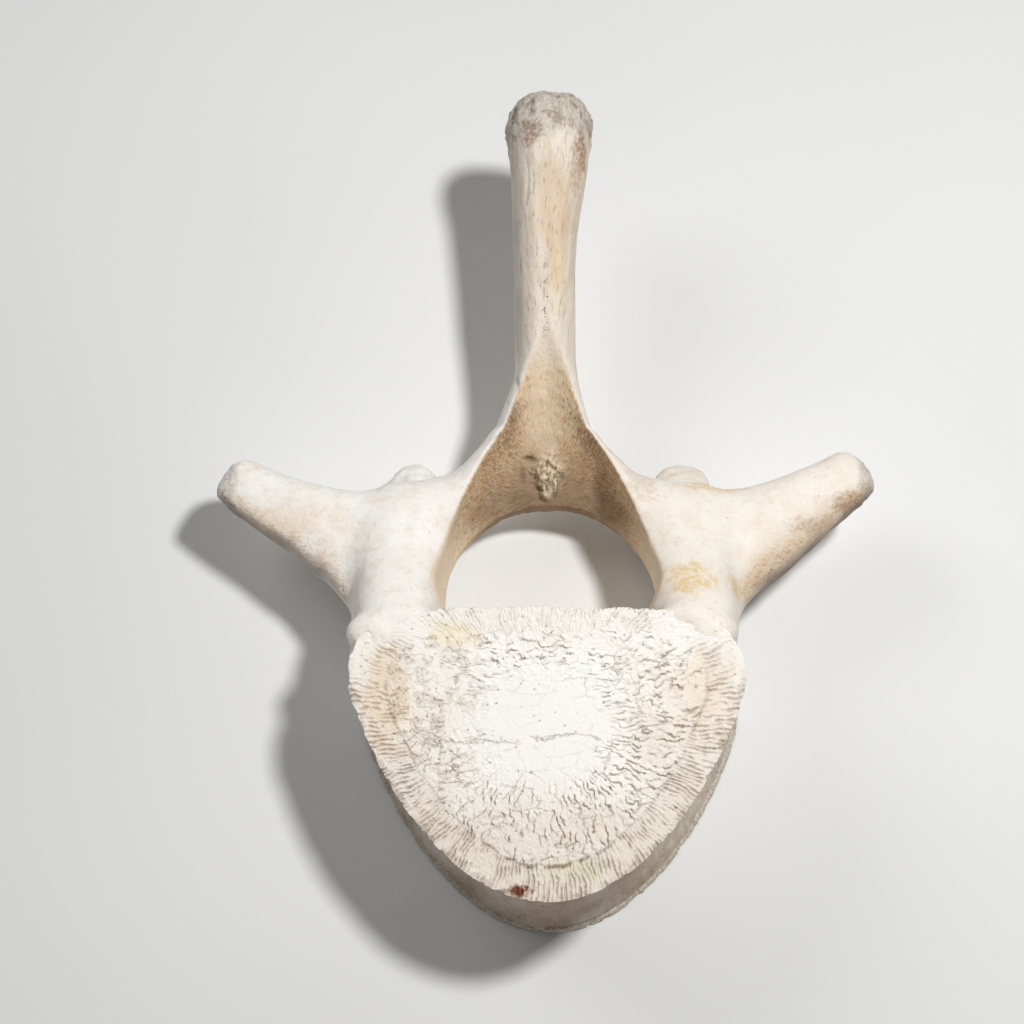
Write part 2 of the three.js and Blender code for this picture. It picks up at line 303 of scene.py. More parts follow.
def canal_distance(x, y, z, floor=CANAL_FLOOR):
    """Distance from the canal's wall, negative inside. Its arch is where
    (|x|/w)^(1/k) + u^m = 1, with u the height above the shoulder: half an ellipse at the
    throat and pointed at the mouth. The floor is flat, and the walls draw in towards it."""
    back = np.maximum(0, z - THROAT_Z)
    front = np.maximum(0, THROAT_Z - z) * CRANIAL_FLARE
    opening = np.clip(back / (MOUTH_Z - THROAT_Z), 0, 1)
    half = THROAT_HALF_WIDTH + (MOUTH_HALF_WIDTH - THROAT_HALF_WIDTH) * opening + front
    half = half - FLOOR_NARROWING * opening * ramp(y, SHOULDER, CANAL_FLOOR)
    rise = THROAT_ROOF + APEX_SLOPE * back + front - SHOULDER
    m, k = (start + (end - start) * opening for start, end in zip(THROAT_SHAPE, MOUTH_SHAPE))
    u = np.maximum(0, (y - SHOULDER) / rise)
    wide = np.abs(x - THROAT_OFFSET + (THROAT_OFFSET - MOUTH_OFFSET) * opening)
    wide = np.maximum(wide / half, 1e-4)
    value = wide ** (1 / k) + u ** m - 1
    slope_x = wide ** (1 / k - 1) / (k * half)
    slope_y = m * np.maximum(u, 1e-4) ** (m - 1) / rise
    arch = value / np.sqrt(slope_x ** 2 + slope_y ** 2 + 1e-6)
    return np.maximum(arch, floor - y)


def lump_distance(x, y, z, centre, radii):
    """Distance from an ellipsoid, negative inside, along the ray from its middle."""
    offsets = [part - middle for part, middle in zip((x, y, z), centre)]
    q = np.sqrt(sum((part / radius) ** 2 for part, radius in zip(offsets, radii)))
    return np.sqrt(sum(part ** 2 for part in offsets)) * (1 - 1 / np.maximum(q, 1e-3))


def outline_part(above):
    """The outline's two powers and its height, for points above the widest level or below."""
    return (np.where(above, upper, lower) for upper, lower in zip(UPPER_OUTLINE, LOWER_OUTLINE))


def face_outline(angle):
    """Outline of the end faces at an angle about their widest level: a superellipse, square
    above and wedge-shaped below."""
    s, c = np.sin(angle), np.cos(angle)
    power_x, power_y, height = outline_part(s > 0)
    x = np.sign(c) * np.abs(c) ** (2 / power_x) * HALF_WIDTH
    y = np.sign(s) * np.abs(s) ** (2 / power_y) * height + WIDEST
    return x, y


def girth(z):
    """Size of the body's outline along its length: full at the rims, drawn in at the waist,
    and a little larger at the cranial end."""
    waisted = WAIST + (1 - WAIST) * np.abs(1 - 2 * z / LENGTH) ** WAIST_POWER
    return waisted * (1 + (CRANIAL_GIRTH - 1) * (1 - z / LENGTH))


def body_distance(x, y, z):
    """Distance from the vertebral body, negative inside: the outline's own measure divided by
    its slope, joined to the two end planes with a rounded rim."""
    size = girth(z)
    px = np.abs(x - CRANIAL_SHIFT * (1 - z / LENGTH)) / size
    py = y / size - WIDEST
    power_x, power_y, height = outline_part(py > 0)
    across = np.maximum(px / HALF_WIDTH, 1e-4)
    up = np.maximum(np.abs(py) / height, 1e-4)
    value = across ** power_x + up ** power_y - 1
    slope_x = power_x / HALF_WIDTH * across ** (power_x - 1)
    slope_y = power_y / height * up ** (power_y - 1)
    wall = np.clip(value / np.maximum(np.hypot(slope_x, slope_y), 4e-3), -40, FAR)
    end = np.abs(z - LENGTH / 2) - (LENGTH / 2 - PLATE_DEPTH)
    return soft_cut(wall, -end, RIM_ROUNDING)


def bone_distance(x, y, z):
    """The whole bone's field at open grids of x, y and z: limbs joined softly, the canal cut
    out of them, and the body added."""
    field = np.full(np.broadcast_shapes(x.shape, y.shape, z.shape), FAR, dtype=np.float32)
    for stations, power, tip, softness, undercut in LIMBS:
        rows = np.asarray(stations, float)
        reach = rows[:, 3].max() * (1 + undercut) + softness + LIMB_CLEARANCE
        low, high = rows[:, :2].min(axis=0) - reach, rows[:, :2].max(axis=0) + reach
        inside_x = np.flatnonzero((x[:, 0, 0] > low[0]) & (x[:, 0, 0] < high[0]))
        inside_y = np.flatnonzero((y[0, :, 0] > low[1]) & (y[0, :, 0] < high[1]))
        box = (slice(inside_x[0], inside_x[-1] + 1), slice(inside_y[0], inside_y[-1] + 1))
        flat_x, flat_y = np.broadcast_arrays(x[box[0], :, 0], y[:, box[1], 0])
        plan = [part[..., None] for part in limb_plan(stations, tip, flat_x, flat_y)]
        limb = limb_distance(plan, power, z, undercut).astype(np.float32)
        field[box] = soft_union(field[box], limb, softness)
    floor = np.minimum(1, girth(z)) * CANAL_FLOOR - ROOT_CLEARANCE
    field = soft_cut(field, canal_distance(x, y, z, floor).astype(np.float32), CANAL_ROUNDING)
    field = soft_union(field, body_distance(x, y, z).astype(np.float32), BODY_ROUNDING)
    for centre, radii in LUMPS:
        field = soft_union(field, lump_distance(x, y, z, centre, radii), LUMP_ROUNDING)
    return soft_cut(field, canal_distance(x, y, z), CANAL_ROUNDING).astype(np.float32)


# ---- a net of quads over the field ----

class Skin:
    """The bone's surface while it is sculpted: points, quads and a normal for each point."""

    def __init__(self, field, origin, step):
        self.field, self.origin, self.step = field, origin, step
        self.points, self.quads = self.draw_net()

    def draw_net(self):
        """Surface net: one point in each cell that the surface passes through, at the mean of
        its crossings of the cell's edges, and one quad round each crossed grid edge."""
        field, shape = self.field, np.array(self.field.shape)
        inside = field < 0
        cells = shape - 1
        count = np.zeros(cells, np.uint8)
        for corner in np.ndindex(2, 2, 2):
            count += inside[tuple(slice(c, c + n) for c, n in zip(corner, cells))]
        active = np.argwhere((count > 0) & (count < 8))
        index = np.full(cells, -1, np.int32)
        index[tuple(active.T)] = np.arange(len(active))
        total = np.zeros((len(active), 3))
        crossings = np.zeros(len(active))
        for axis in range(3):
            along = np.eye(3, dtype=int)[axis]
            for start in np.ndindex(2, 2, 2):
                if start[axis]:
                    continue
                a = field[tuple((active + start).T)].astype(float)
                b = field[tuple((active + start + along).T)].astype(float)
                crossed = (a < 0) != (b < 0)
                share = np.where(crossed, a / np.where(crossed, a - b, 1), 0)
                total += (np.array(start) + share[:, None] * along) * crossed[:, None]
                crossings += crossed
        points = self.origin + self.step * (active + total / crossings[:, None])
        quads = []
        for axis in range(3):
            one, two = (axis + 1) % 3, (axis + 2) % 3
            first = [slice(None)] * 3
            second = [slice(None)] * 3
            first[axis], second[axis] = slice(0, -1), slice(1, None)
            start, end = inside[tuple(first)], inside[tuple(second)]
            for leaving, order in ((start & ~end, (0, 1, 2, 3)), (~start & end, (3, 2, 1, 0))):
                edge = np.argwhere(leaving)
                ring = []
                for back_one, back_two in ((1, 1), (0, 1), (0, 0), (1, 0)):
                    cell = edge.copy()
                    cell[:, one] -= back_one
                    cell[:, two] -= back_two
                    ring.append(index[tuple(cell.T)])
                quads.append(np.stack(ring, axis=1)[:, order])
        return points, np.concatenate(quads)

    def value(self, points):
        """The field between grid points, blended in the three directions."""
        place = (points - self.origin) / self.step
        base = np.clip(np.floor(place).astype(int), 0, np.array(self.field.shape) - 2)
        return blend_corners(place - base, lambda corner: self.field[tuple((base + corner).T)])

    def slope(self, points):
        """Gradient of the field, by differences over one grid step each way."""
        rows = []
        for axis in range(3):
            offset = np.eye(3)[axis] * self.step
            rows.append(self.value(points + offset) - self.value(points - offset))
        return np.stack(rows, axis=1) / (2 * self.step)

    def settle(self, rounds):
        """Evens out the net: each point moves halfway to the middle of its neighbours, then
        back on to the surface along the field's slope."""
        edges = np.concatenate([self.quads[:, [i, (i + 1) % 4]] for i in range(4)])
        for _ in range(rounds):
            middle = np.zeros_like(self.points)
            degree = np.bincount(edges.ravel(), minlength=len(self.points))
            for axis in range(3):
                for here, there in ((0, 1), (1, 0)):
                    far_end = self.points[edges[:, there], axis]
                    middle[:, axis] += np.bincount(edges[:, here], far_end, len(self.points))
            self.points = 0.5 * self.points + 0.5 * middle / degree[:, None]
            slope = self.slope(self.points)
            reach = self.value(self.points) / np.maximum((slope ** 2).sum(axis=1), 0.04)
            self.points -= np.clip(reach, -self.step, self.step)[:, None] * slope

    def normals(self):
        """Normal of each point: the sum of its quads' area vectors, made one long."""
        return grid_normals(self.points, self.quads)


def grid_normals(points, quads):
    """Normals at points, from the cross products of each quad's diagonals."""
    a, b, c, d = (points[quads[:, i]] for i in range(4))
    area = np.cross(c - a, d - b)
    columns = [np.bincount(quads.ravel(), np.repeat(part, 4), len(points)) for part in area.T]
    total = np.stack(columns, axis=1)
    return total / np.maximum(np.linalg.norm(total, axis=1), 1e-12)[:, None]


def draw_skin():
    """The field over the bone's box and a margin, and the net drawn over it."""
    low = np.array(cad_low) / MM - MARGIN
    high = np.array(cad_high) / MM + MARGIN
    counts = np.ceil((high - low) / VOXEL).astype(int) + 1
    x, y, z = (low[axis] + VOXEL * np.arange(counts[axis]) for axis in range(3))
    field = bone_distance(x[:, None, None], y[None, :, None], z[None, None, :])
    skin = Skin(field, low, VOXEL)
    skin.settle(SETTLING)
    return skin


# ---- sculpting the skin ----

def towards_canal(places, normals):
    """How squarely a point's normal looks into the canal, 1 when it does: minus the dot
    product of the normal and the slope of the canal's distance."""
    slope = np.stack([
        canal_distance(*(places + offset).T) - canal_distance(*(places - offset).T)
        for offset in np.eye(3)
    ], axis=1)
    length = np.maximum(np.linalg.norm(slope, axis=1), 1e-9)
    return -(slope * normals).sum(axis=1) / length


# Places in the plane of the end faces: centre, half sizes and strength.
HOLLOW_PITS = [
    ((-36, 312), (20, 34), 1.2), ((34, 338), (13, 34), 0.9), ((46, 304), (17, 30), 0.8),
    ((-50, 272), (22, 30), 0.6), ((60, 266), (18, 30), 0.3),
]
SPINE_PITS = [((1, 402), (6, 60), 1.0)]
KNOB_PITS = [((-12, 279), (8, 3.5), 1.0), ((-19, 266), (4, 13), 0.5)]
ROUGH_CORNERS = [((-150, 84), (30, 44), 1.0), ((150, 96), (26, 34), 0.5)]
DIMPLES = [((-147, 95), (6, 8), 1.0)]
KNOB_CENTRE = (4, 267)

# Where one kind of surface gives way to another: the place where it starts and where it is full.
HOLLOW_FOOT = (118, 135)            # levels
HOLLOW_TOP = (376, 334)
SPINE_FOOT = (296, 330)
CAP_FOOT = (540, 560)
ARCH_FOOT = (128, 150)
CROWN_FOOT = (256, 272)
KNOB_FOOT = (245, 256)
WALL_TOP = (108, 34)
WALL_BACK = (181, 172)              # along the bone
CROWN_BACK = (75, 55)
CORNER_FRONT = (138, 160)
LEFT_TIP = (264, 272)               # distances from the middle plane
RIGHT_TIP = (268, 276)
RIDGE_ROOT = (140, 172)
UNDERSIDE_ROOT = (140, 216)
LOOKS_IN = (0.3, 0.75)              # of the normal
LOOKS_BACK = (0.0, 0.5)
LOOKS_DOWN = (0.4, 0.85)


def spots(x, y, places):
    """Ellipses in the plane of the end faces, added up: each has its strength at the centre,
    and is 0 at its edge and beyond."""
    return sum(strength * hump(np.hypot((x - middle[0]) / radii[0], (y - middle[1]) / radii[1]), 1.0)
               for middle, radii, strength in places)


def drawn_line(x, y, middle, sway, wave, half_width, low, high, fade):
    """A line up the bone at x = middle, swaying by a sine of y, fading out at its ends."""
    across = hump(np.abs(x - middle + sway * np.sin(y / wave)), half_width)
    return across * ramp(y, low, low + fade[0]) * ramp(y, high, high - fade[1])


def sculpt(skin):
    """Moves the skin's points along their normals by the sum of the layers below, and keeps
    how much each point belongs to each kind of surface, for the materials."""
    places, normals = skin.points, skin.normals()
    x, y, z = places.T
    ny, nz = normals.T[1:]

    def grain(size, octaves, number, fall=0.5):
        return fractal(places, size, octaves, SEED + number, fall)

    # where each kind of surface lies
    wander = grain(30, 2, 0)
    looks_in = towards_canal(places, normals)
    hollow = hump(np.abs(canal_distance(x, y, z)), 9) * ramp(looks_in, *LOOKS_IN)
    hollow = hollow * ramp(y, *HOLLOW_FOOT) * ramp(y + 14 * wander, *HOLLOW_TOP)
    spine = ramp(y, *SPINE_FOOT) * (1 - hollow)
    cap = ramp(y + 9 * wander + 9 * grain(9, 3, 25, 0.65), *CAP_FOOT)
    tips = np.maximum(ramp(-x + 8 * wander, *LEFT_TIP), ramp(x + 8 * wander, *RIGHT_TIP))
    wall = ramp(y + 26 * wander, *WALL_TOP) * ramp(z, *WALL_BACK)
    caudal_side = ramp(nz, *LOOKS_BACK)
    over_body = ramp(y, *ARCH_FOOT)
    reach = ramp(np.abs(x), *RIDGE_ROOT) * over_body
    looks_down = ramp(-ny + 0.25 * wander, *LOOKS_DOWN)
    under = ramp(np.abs(x) + 22 * wander, *UNDERSIDE_ROOT) * over_body * looks_down
    crest = reach * hump(np.abs(ny + 0.5), 0.36) * caudal_side
    ridge = reach * hump(np.abs(ny + 0.42), 0.42) * caudal_side
    crown = ramp(y, *CROWN_FOOT) * hump(np.abs(np.abs(x) - 125), 48) * ramp(z, *CROWN_BACK)

    # single marks
    ragged = 7 * grain(7, 3, 22, 0.6)
    knob_size = (19 - 7 * ramp(y, 272, 250), 28)
    knob = spots(x + ragged, y + ragged, [(KNOB_CENTRE, knob_size, 1.0)])
    knob = ramp(knob, 0.0, 0.5) * hollow * ramp(y, *KNOB_FOOT)
    beside_knob = spots(x, y, KNOB_PITS) * hollow
    seam = drawn_line(x, y, -25, 2.0, 11, 3.0, 318, 436, (17, 21)) * caudal_side
    scores = drawn_line(x, y, -17, 2.5, 17, 2.2, 485, 534, (10, 10)) * caudal_side
    pitted = spots(x, y, HOLLOW_PITS) * hollow + spots(x, y, SPINE_PITS) * caudal_side
    porous = np.clip(pitted + cap, 0, 1)
    dimple = spots(x, y, DIMPLES) * caudal_side
    corner = spots(x, y, ROUGH_CORNERS) * ramp(z, *CORNER_FRONT)

    # how far the surface rises, in layers
    near, _ = cell_distance(places + 2 * wander[:, None], 6.0, SEED + 3)
    holes = hump(near, 0.42) * ramp(grain(14, 2, 4), -0.2, 0.4)
    lumpy = grain(13, 4, 9, 0.65)
    rise = 1.3 * grain(55, 2, 5) + 0.5 * grain(17, 2, 6) + 0.2 * grain(6.5, 2, 7) + 0.12 * grain(3.8, 2, 16)
    rise += spine * (0.6 * grain((7, 80, 7), 3, 8) + 0.25 * grain((3.4, 40, 3.4), 2, 17))
    rise += cap * (1.6 + 4.2 * lumpy - 1.6 * holes)
    rise += tips * (0.3 + 2.2 * grain(9, 3, 10, 0.6) - 1.8 * holes)
    rise += crown * (5.0 * grain(19, 4, 18, 0.6) - 1.0)
    rise += corner * (1.5 * grain(8, 3, 24, 0.6) - 1.2 * holes - 0.3)
    rise += hollow * 0.55 * grain((3.6, 7, 5), 2, 11)
    rise += knob * (7.0 + 7.0 * grain((7, 11, 9), 4, 12, 0.65)) - 4.5 * beside_knob - 3.0 * dimple
    rise -= 1.8 * porous * (1 - cap) * holes + 1.6 * seam + 0.9 * scores
    rise += wall * (0.9 * grain((9, 9, 55), 3, 13) + 0.5 * grain(5, 3, 19)
                    - 2.0 * holes * ramp(wander, -0.1, 0.5))
    rise += ridge * (0.8 * grain((11, 5, 5), 3, 14) - 1.0 * holes) + 2.4 * crest - 1.8 * under
    from_end = LENGTH / 2 - np.abs(z - LENGTH / 2)
    near_rim = ramp(y, 112, 80) * ramp(from_end, 16, 4) * ramp(np.abs(nz), 0.8, 0.5)
    rise -= near_rim * (0.8 + 1.6 * np.maximum(0, grain(9, 3, 15)))
    skin.points = places + rise[:, None] * normals

    # Painted shade for the colours: dark where the sculpt sinks in, in the pits, the hollows between the
    # cap's lumps, the drawn grooves and the pits beside the knob; the cap also takes dark flecks.
    pocked = np.maximum.reduce([porous, tips, 0.4 * ridge, 0.8 * wall, 0.7 * corner])
    cap_shade_and_flecks = 0.6 * ramp(lumpy, -0.18, -0.42) + 0.8 * ramp(grain(4.5, 2, 23), -0.3, -0.55)
    drawn = (0.5 * seam + 0.35 * scores) * (0.5 + wander)
    dark = np.clip(0.8 * holes * pocked + cap * cap_shade_and_flecks + drawn + beside_knob, 0, 1)
    return {
        "kinds": np.stack([hollow, np.clip(cap + tips + knob, 0, 1), wall, under], axis=1),
        "marks": np.stack([dark, porous, ridge, knob], axis=1),
    }


# ---- end faces ----

FACE_CENTRE = np.array([-2.0, 24.0])
RIM_START = 0.962         # share of the grid that is face; the rest goes over the rim
RIM_RADIUS = 2.2
RIM_DEPTH = 8.0           # how far the plate comes down over the wall
OVER_RIM = 0.5            # share of the rim's rings in its curve
DOWN_WALL = 0.35          # and on the wall; the rest are tucked in
GROOVE_LIMIT = 5.0        # deepest groove; the skin lies lower, under the plate
RIDGES = 225              # ridges round the rim
SCALES = 0.42             # scales for each ridge
RING_SHARE = 0.815        # where the ring groove lies between the centre and the rim
RING_WIDTH = 0.015
CRACK_LEVEL = 13.0        # level of the crack across the middle


def disc_grid(count):
    """A square grid drawn into a round one: (a, b) goes to the radius of the larger of the
    two and the angle of their ratio, so squares become rings. Gives x, y and the quads."""
    line = np.linspace(-1, 1, count)
    a, b = (part.ravel() for part in np.meshgrid(line, line, indexing="ij"))
    wide = np.abs(a) > np.abs(b)
    radius = np.where(wide, a, b)
    safe_a, safe_b = np.where(a == 0, 1, a), np.where(b == 0, 1, b)
    angle = np.where(wide, math.pi / 4 * b / safe_a, math.pi / 2 - math.pi / 4 * a / safe_b)
    angle = np.where(radius == 0, 0, angle)
    index = np.arange(count * count).reshape(count, count)
    corners = (index[:-1, :-1], index[1:, :-1], index[1:, 1:], index[:-1, 1:])
    quads = np.stack([part.ravel() for part in corners], axis=1)
    return radius * np.cos(angle), radius * np.sin(angle), quads


def outline_reach(angle):
    """Distance from the face's centre to its outline in a direction."""
    x, y = face_outline(np.linspace(-math.pi, math.pi, OUTLINE_SAMPLES))
    around = np.arctan2(y - FACE_CENTRE[1], x - FACE_CENTRE[0])
    far = np.hypot(y - FACE_CENTRE[1], x - FACE_CENTRE[0])
    order = np.argsort(around)
    return np.interp(angle, around[order], far[order], period=2 * math.pi)


def growth_relief(x, y, share, seed):
    """Depth of the open growth surface; how dark, which is painted shade in its grooves, cracks
    and ring groove; how pitted; and how ridged it is. From the centre out: smooth; then scales,
    a sawtooth of the angle bent by noise and broken into short lengths; a ring groove; and
    ridges out to the rim, the cosine of the angle counted in ridges. Long cracks follow the
    edges between cells of random dots."""
    flat = np.stack([x, y, np.zeros_like(x)], axis=1)

    def grain(size, octaves, number, fall=0.5):
        return fractal(flat, size, octaves, seed + number, fall)

    shift = 3.4 * np.stack([grain(15, 3, 0), grain(15, 3, 40)], axis=1)
    wavy = np.stack([x, y], axis=1) - FACE_CENTRE + shift
    angle = np.arctan2(wavy[:, 1], wavy[:, 0])
    out = np.hypot(*wavy.T)
    patchy = grain(22, 2, 5)
    small = grain(5.5, 2, 2)
    bend = grain(13, 4, 3, 0.63)

    # which part of the face each point lies in
    calm = ramp(np.hypot((x + 1) / 60, (y - 20) / 50) + 0.35 * patchy, 0.5, 1.2)
    outer = ramp(share + 0.008 * shift[:, 0], 0.79, 0.84)
    top = ramp(y, 84, 102) * hump(np.abs(x + 6), 100)
    upper = ramp(y, 48, 66) * ramp(np.abs(x), 75, 45)
    smooth = np.maximum.reduce([
        ramp(x, 145, 155) * ramp(y + 12 * patchy, 44, 66),
        ramp(-x, 134, 150) * ramp(y + 12 * patchy, 46, 70),
        ramp(y, 84, 100) * ramp(np.abs(x + 4) + 8 * patchy, 84, 108),
    ])

    spun = np.column_stack([wavy / out[:, None] * 42, out / 9])
    lengths = ramp(fractal(spun, 1, 2, seed + 17), -0.8, 0.05) * (1 - smooth)
    waves = np.cos(RIDGES * angle + 4.6 * grain(11, 4, 1, 0.65))
    ridges = ramp(waves + small + 0.6 * value_noise(spun / 2.2, seed + 21), 0.1, 1.4) * lengths

    broken = ramp(grain(6, 3, 8), -0.25, 0.3) * ramp(out, 36, 60)
    fan = SCALES * RIDGES * angle + 9.5 * bend
    rows = 0.95 * y + 10.0 * bend
    foot = lift = 0.0
    for turns, part in ((fan, 1 - upper), (rows, upper)):
        tooth = (turns / (2 * math.pi) + 0.3 * small) % 1.0
        foot = foot + part * hump(np.abs(tooth - 0.1), 0.17) * broken
        lift = lift + part * np.minimum(tooth / 0.2, (1 - tooth) / 0.8) * broken

    bent = flat / (1.0, 0.55, 1.0) + 8 * bend[:, None] * (1, 1, 0)
    near, second = cell_distance(bent, 24, seed + 6, 2)
    cracks = hump(second - near, 0.06) * ramp(grain(15, 3, 9), -0.2, 0.3)
    stripes = value_noise(np.column_stack([wavy / (2.4, 12), x * 0]), seed + 12)
    upright = ramp(np.abs(stripes), 0.3, 0.0) * top

    spread = np.arctan2(y - FACE_CENTRE[1], x - FACE_CENTRE[0])
    ring_strength = (0.25 + 1.0 * hump(np.abs(spread + 1.57), 0.75) + 0.4 * hump(np.abs(spread - 0.1), 0.4)
                     + 0.35 * hump(np.abs(np.abs(spread) - 2.95), 0.3))
    ring_strength = ring_strength * ramp(y, 85, 55) * ramp(grain(7, 3, 18), -0.45, 0.25)
    ring = hump(np.abs(share - RING_SHARE + 0.007 * shift[:, 1]), RING_WIDTH) * ring_strength
    split = hump(np.abs(y - CRACK_LEVEL + 11.0 * bend - 0.03 * x), 1.6) * ramp(np.abs(x), 125, 80)
    split = split * ramp(grain(16, 2, 19), -0.5, -0.1)
    pit_near, _ = cell_distance(flat, 15, seed + 10, 2)
    pits = hump(pit_near, 0.075) * ramp(patchy, -0.2, 0.2)

    scales = (1 - outer) * calm * (1 - 0.8 * top) * (1 - smooth)
    crazed = 0.75 * cracks * (1 - outer) * (0.3 + 0.7 * calm)
    lines = np.maximum.reduce([0.9 * foot * scales, crazed, 0.6 * split])
    rough = (0.55 * grain(5, 4, 14, 0.75) + 0.3 * value_noise(flat / 1.6, seed + 24)) * (0.4 + calm)
    depth = (2.2 + 0.2 * outer + 1.6 * lines - 2.1 * lift * scales + 2.3 * outer * ridges * (1 - 0.8 * top)
             + 0.7 * upright + 1.8 * ring + 1.5 * pits - rough - 0.5 * grain(40, 2, 15) - 1.0 * smooth)
    # Painted shade: darker in the feet of the scales, the cracks and the split, the grooves between the
    # ridges, the upright stripes and the ring groove.
    dark = 0.9 * lines + 0.42 * outer * ridges * (1 - 0.85 * top) + 0.16 * upright + 0.8 * ring
    return np.clip(depth, 0.0, GROOVE_LIMIT), np.clip(dark, 0, 1), np.clip(pits, 0, 1), outer * (1 - smooth)


def end_face(caudal, count, seed):
    """One end face: the disc grid drawn out to the outline, its outermost rings carried over
    the rim in a quarter circle and down the wall, then in under the skin."""
    disc_x, disc_y, quads = disc_grid(count)
    reach = np.hypot(disc_x, disc_y)
    angle = np.arctan2(disc_y, disc_x)
    out = np.column_stack([np.cos(angle), np.sin(angle)])
    full = outline_reach(angle)
    share = np.minimum(reach / RIM_START, 1)
    over = np.clip((reach - RIM_START) / (1 - RIM_START), 0, 1)
    flat = FACE_CENTRE + out * (share * (full - RIM_RADIUS))[:, None]
    depth, dark, pits, outer = growth_relief(flat[:, 0], flat[:, 1], share, seed)
    nibbled = np.column_stack([flat, np.zeros(len(flat))])
    worn = ramp(share + 0.02 * fractal(nibbled, 14, 2, seed + 26), 0.97, 0.995) * ramp(flat[:, 1], 90, 40)
    worn = worn * ramp(fractal(nibbled, 11, 3, seed + 27), -0.15, 0.35)

    turn = np.minimum(over / OVER_RIM, 1) * math.pi / 2
    down = np.clip((over - OVER_RIM) / DOWN_WALL, 0, 1) * (RIM_DEPTH - RIM_RADIUS)
    tucked = OVER_RIM + DOWN_WALL
    tuck = np.clip((over - tucked) / (1 - tucked), 0, 1)
    sunk = RIM_RADIUS * (1 - np.cos(turn)) + down
    about = np.column_stack([full[:, None] * out, sunk])
    chips = np.maximum(0, fractal(about, (7, 7, 5), 3, seed + 20) + 0.1) * 3.6 * np.minimum(over / 0.3, 1)
    size = girth(LENGTH - sunk) / girth(LENGTH)
    proud = RIM_RADIUS * (np.sin(turn) - 1) + 0.5 - chips - 3.0 * tuck
    edge = (FACE_CENTRE + out * full[:, None]) * size[:, None] + out * proud[:, None]
    on_rim = over > 0
    flat = np.where(on_rim[:, None], edge, flat)
    sunk = sunk + depth * (1 - ramp(over, 0.1, 0.6)) + 0.6 * chips
    sunk = np.maximum(sunk, 0.05)
    if caudal:
        points = np.column_stack([flat, LENGTH - sunk])
    else:
        flat = flat * CRANIAL_GIRTH + (CRANIAL_SHIFT, 0)
        points = np.column_stack([flat, sunk])
        quads = quads[:, ::-1]
    # For the colours: painted shade of the grooves, the pits, which are also painted as shade, the outer
    # band, and wear round the rim.
    kinds = np.column_stack([dark, pits, outer, np.maximum(ramp(over, 0.2, 0.7), 0.8 * worn)])
    return points, quads, {"growth": kinds}


# ---- meshes ----

def loops_of(starts, ends, count):
    """Which loop each edge of a cut belongs to: every point takes the lowest number among
    those it is joined to, until none changes."""
    label = np.arange(count)
    while True:
        lowest = label.copy()
        joined = np.minimum(label[starts], label[ends])
        np.minimum.at(lowest, starts, joined)
        np.minimum.at(lowest, ends, joined)
        lowest = lowest[lowest]
        if (lowest == label).all():
            return label[starts]
        label = lowest


HEART_REACH = 60.0        # how far from a cut's middle its heart may lie


def make_pieces(points, quads, colours, region, names, hearts):
    """Parts a net into closed pieces. Region says which piece each quad belongs to. Each cut
    is closed by a fan to its middle, or to the nearest heart in reach, where the cut is a
    hollow shape whose middle lies outside the bone. Every piece keeps the whole net's
    normals, so the cuts don't show."""
    normals = grid_normals(points, quads)
    hearts = np.asarray(hearts, float)
    starts = quads.ravel()
    ends = np.roll(quads, -1, axis=1).ravel()
    owners = np.repeat(region, 4)
    code = starts.astype(np.int64) * len(points) + ends
    back = ends.astype(np.int64) * len(points) + starts
    order = np.argsort(code)
    found = order[np.minimum(np.searchsorted(code[order], back), len(code) - 1)]
    neighbour = np.where(code[found] == back, owners[found], -1)
    made = []
    for number, name in enumerate(names):
        used, faces = np.unique(quads[region == number], return_inverse=True)
        faces = faces.reshape(-1, 4)
        cut = (owners == number) & (neighbour != number)
        a = np.searchsorted(used, starts[cut])
        b = np.searchsorted(used, ends[cut])
        label = loops_of(a, b, len(used))
        vertices, fans, fan_normals = [points[used]], [], []
        for turn, loop in enumerate(np.unique(label)):
            one, two = a[label == loop], b[label == loop]
            middle = points[used[one]].mean(axis=0)
            away = np.linalg.norm(hearts - middle, axis=1)
            if away.min() < HEART_REACH:
                middle = hearts[np.argmin(away)]
            area = np.cross(points[used[two]] - middle, points[used[one]] - middle).sum(axis=0)
            facing = area / max(np.linalg.norm(area), 1e-9)
            fans.append(np.column_stack([two, one, np.full(len(one), len(used) + turn)]))
            fan_normals.append(np.tile(facing, (3 * len(one), 1)))
            vertices.append(middle[None])
        layers = {key: value[used] for key, value in colours.items()}
        vertices = np.concatenate(vertices)
        made.append(write_mesh(name, vertices, faces, fans, normals[used], fan_normals, layers))
    return made


def write_mesh(name, vertices, quads, fans, normals, fan_normals, colours):
    """A mesh object from arrays, in metres: quads with the net's normals, fans with their own."""
    fans = np.concatenate(fans) if fans else np.empty((0, 3), int)
    mesh = bpy.data.meshes.new(name)
    mesh.vertices.add(len(vertices))
    mesh.vertices.foreach_set("co", (vertices * MM).astype(np.float32).ravel())
    corners = np.concatenate([quads.ravel(), fans.ravel()]).astype(np.int32)
    sizes = np.concatenate([np.full(len(quads), 4), np.full(len(fans), 3)])
    mesh.loops.add(len(corners))
    mesh.loops.foreach_set("vertex_index", corners)
    mesh.polygons.add(len(sizes))
    firsts = np.cumsum(sizes) - sizes
    mesh.polygons.foreach_set("loop_start", firsts.astype(np.int32))
    mesh.update(calc_edges=True)
    for key, value in colours.items():
        padded = np.zeros((len(vertices), 4), np.float32)
        padded[:len(value)] = value
        mesh.attributes.new(key, "FLOAT_COLOR", "POINT").data.foreach_set("color", padded.ravel())
    mesh.polygons.foreach_set("use_smooth", np.ones(len(sizes), bool))
    loop_normals = np.concatenate([normals[quads.ravel()], *fan_normals])
    mesh.normals_split_custom_set(loop_normals.astype(np.float32))
    piece = bpy.data.objects.new(name, mesh)
    bpy.context.collection.objects.link(piece)
    return piece


# ---- shader maths ----

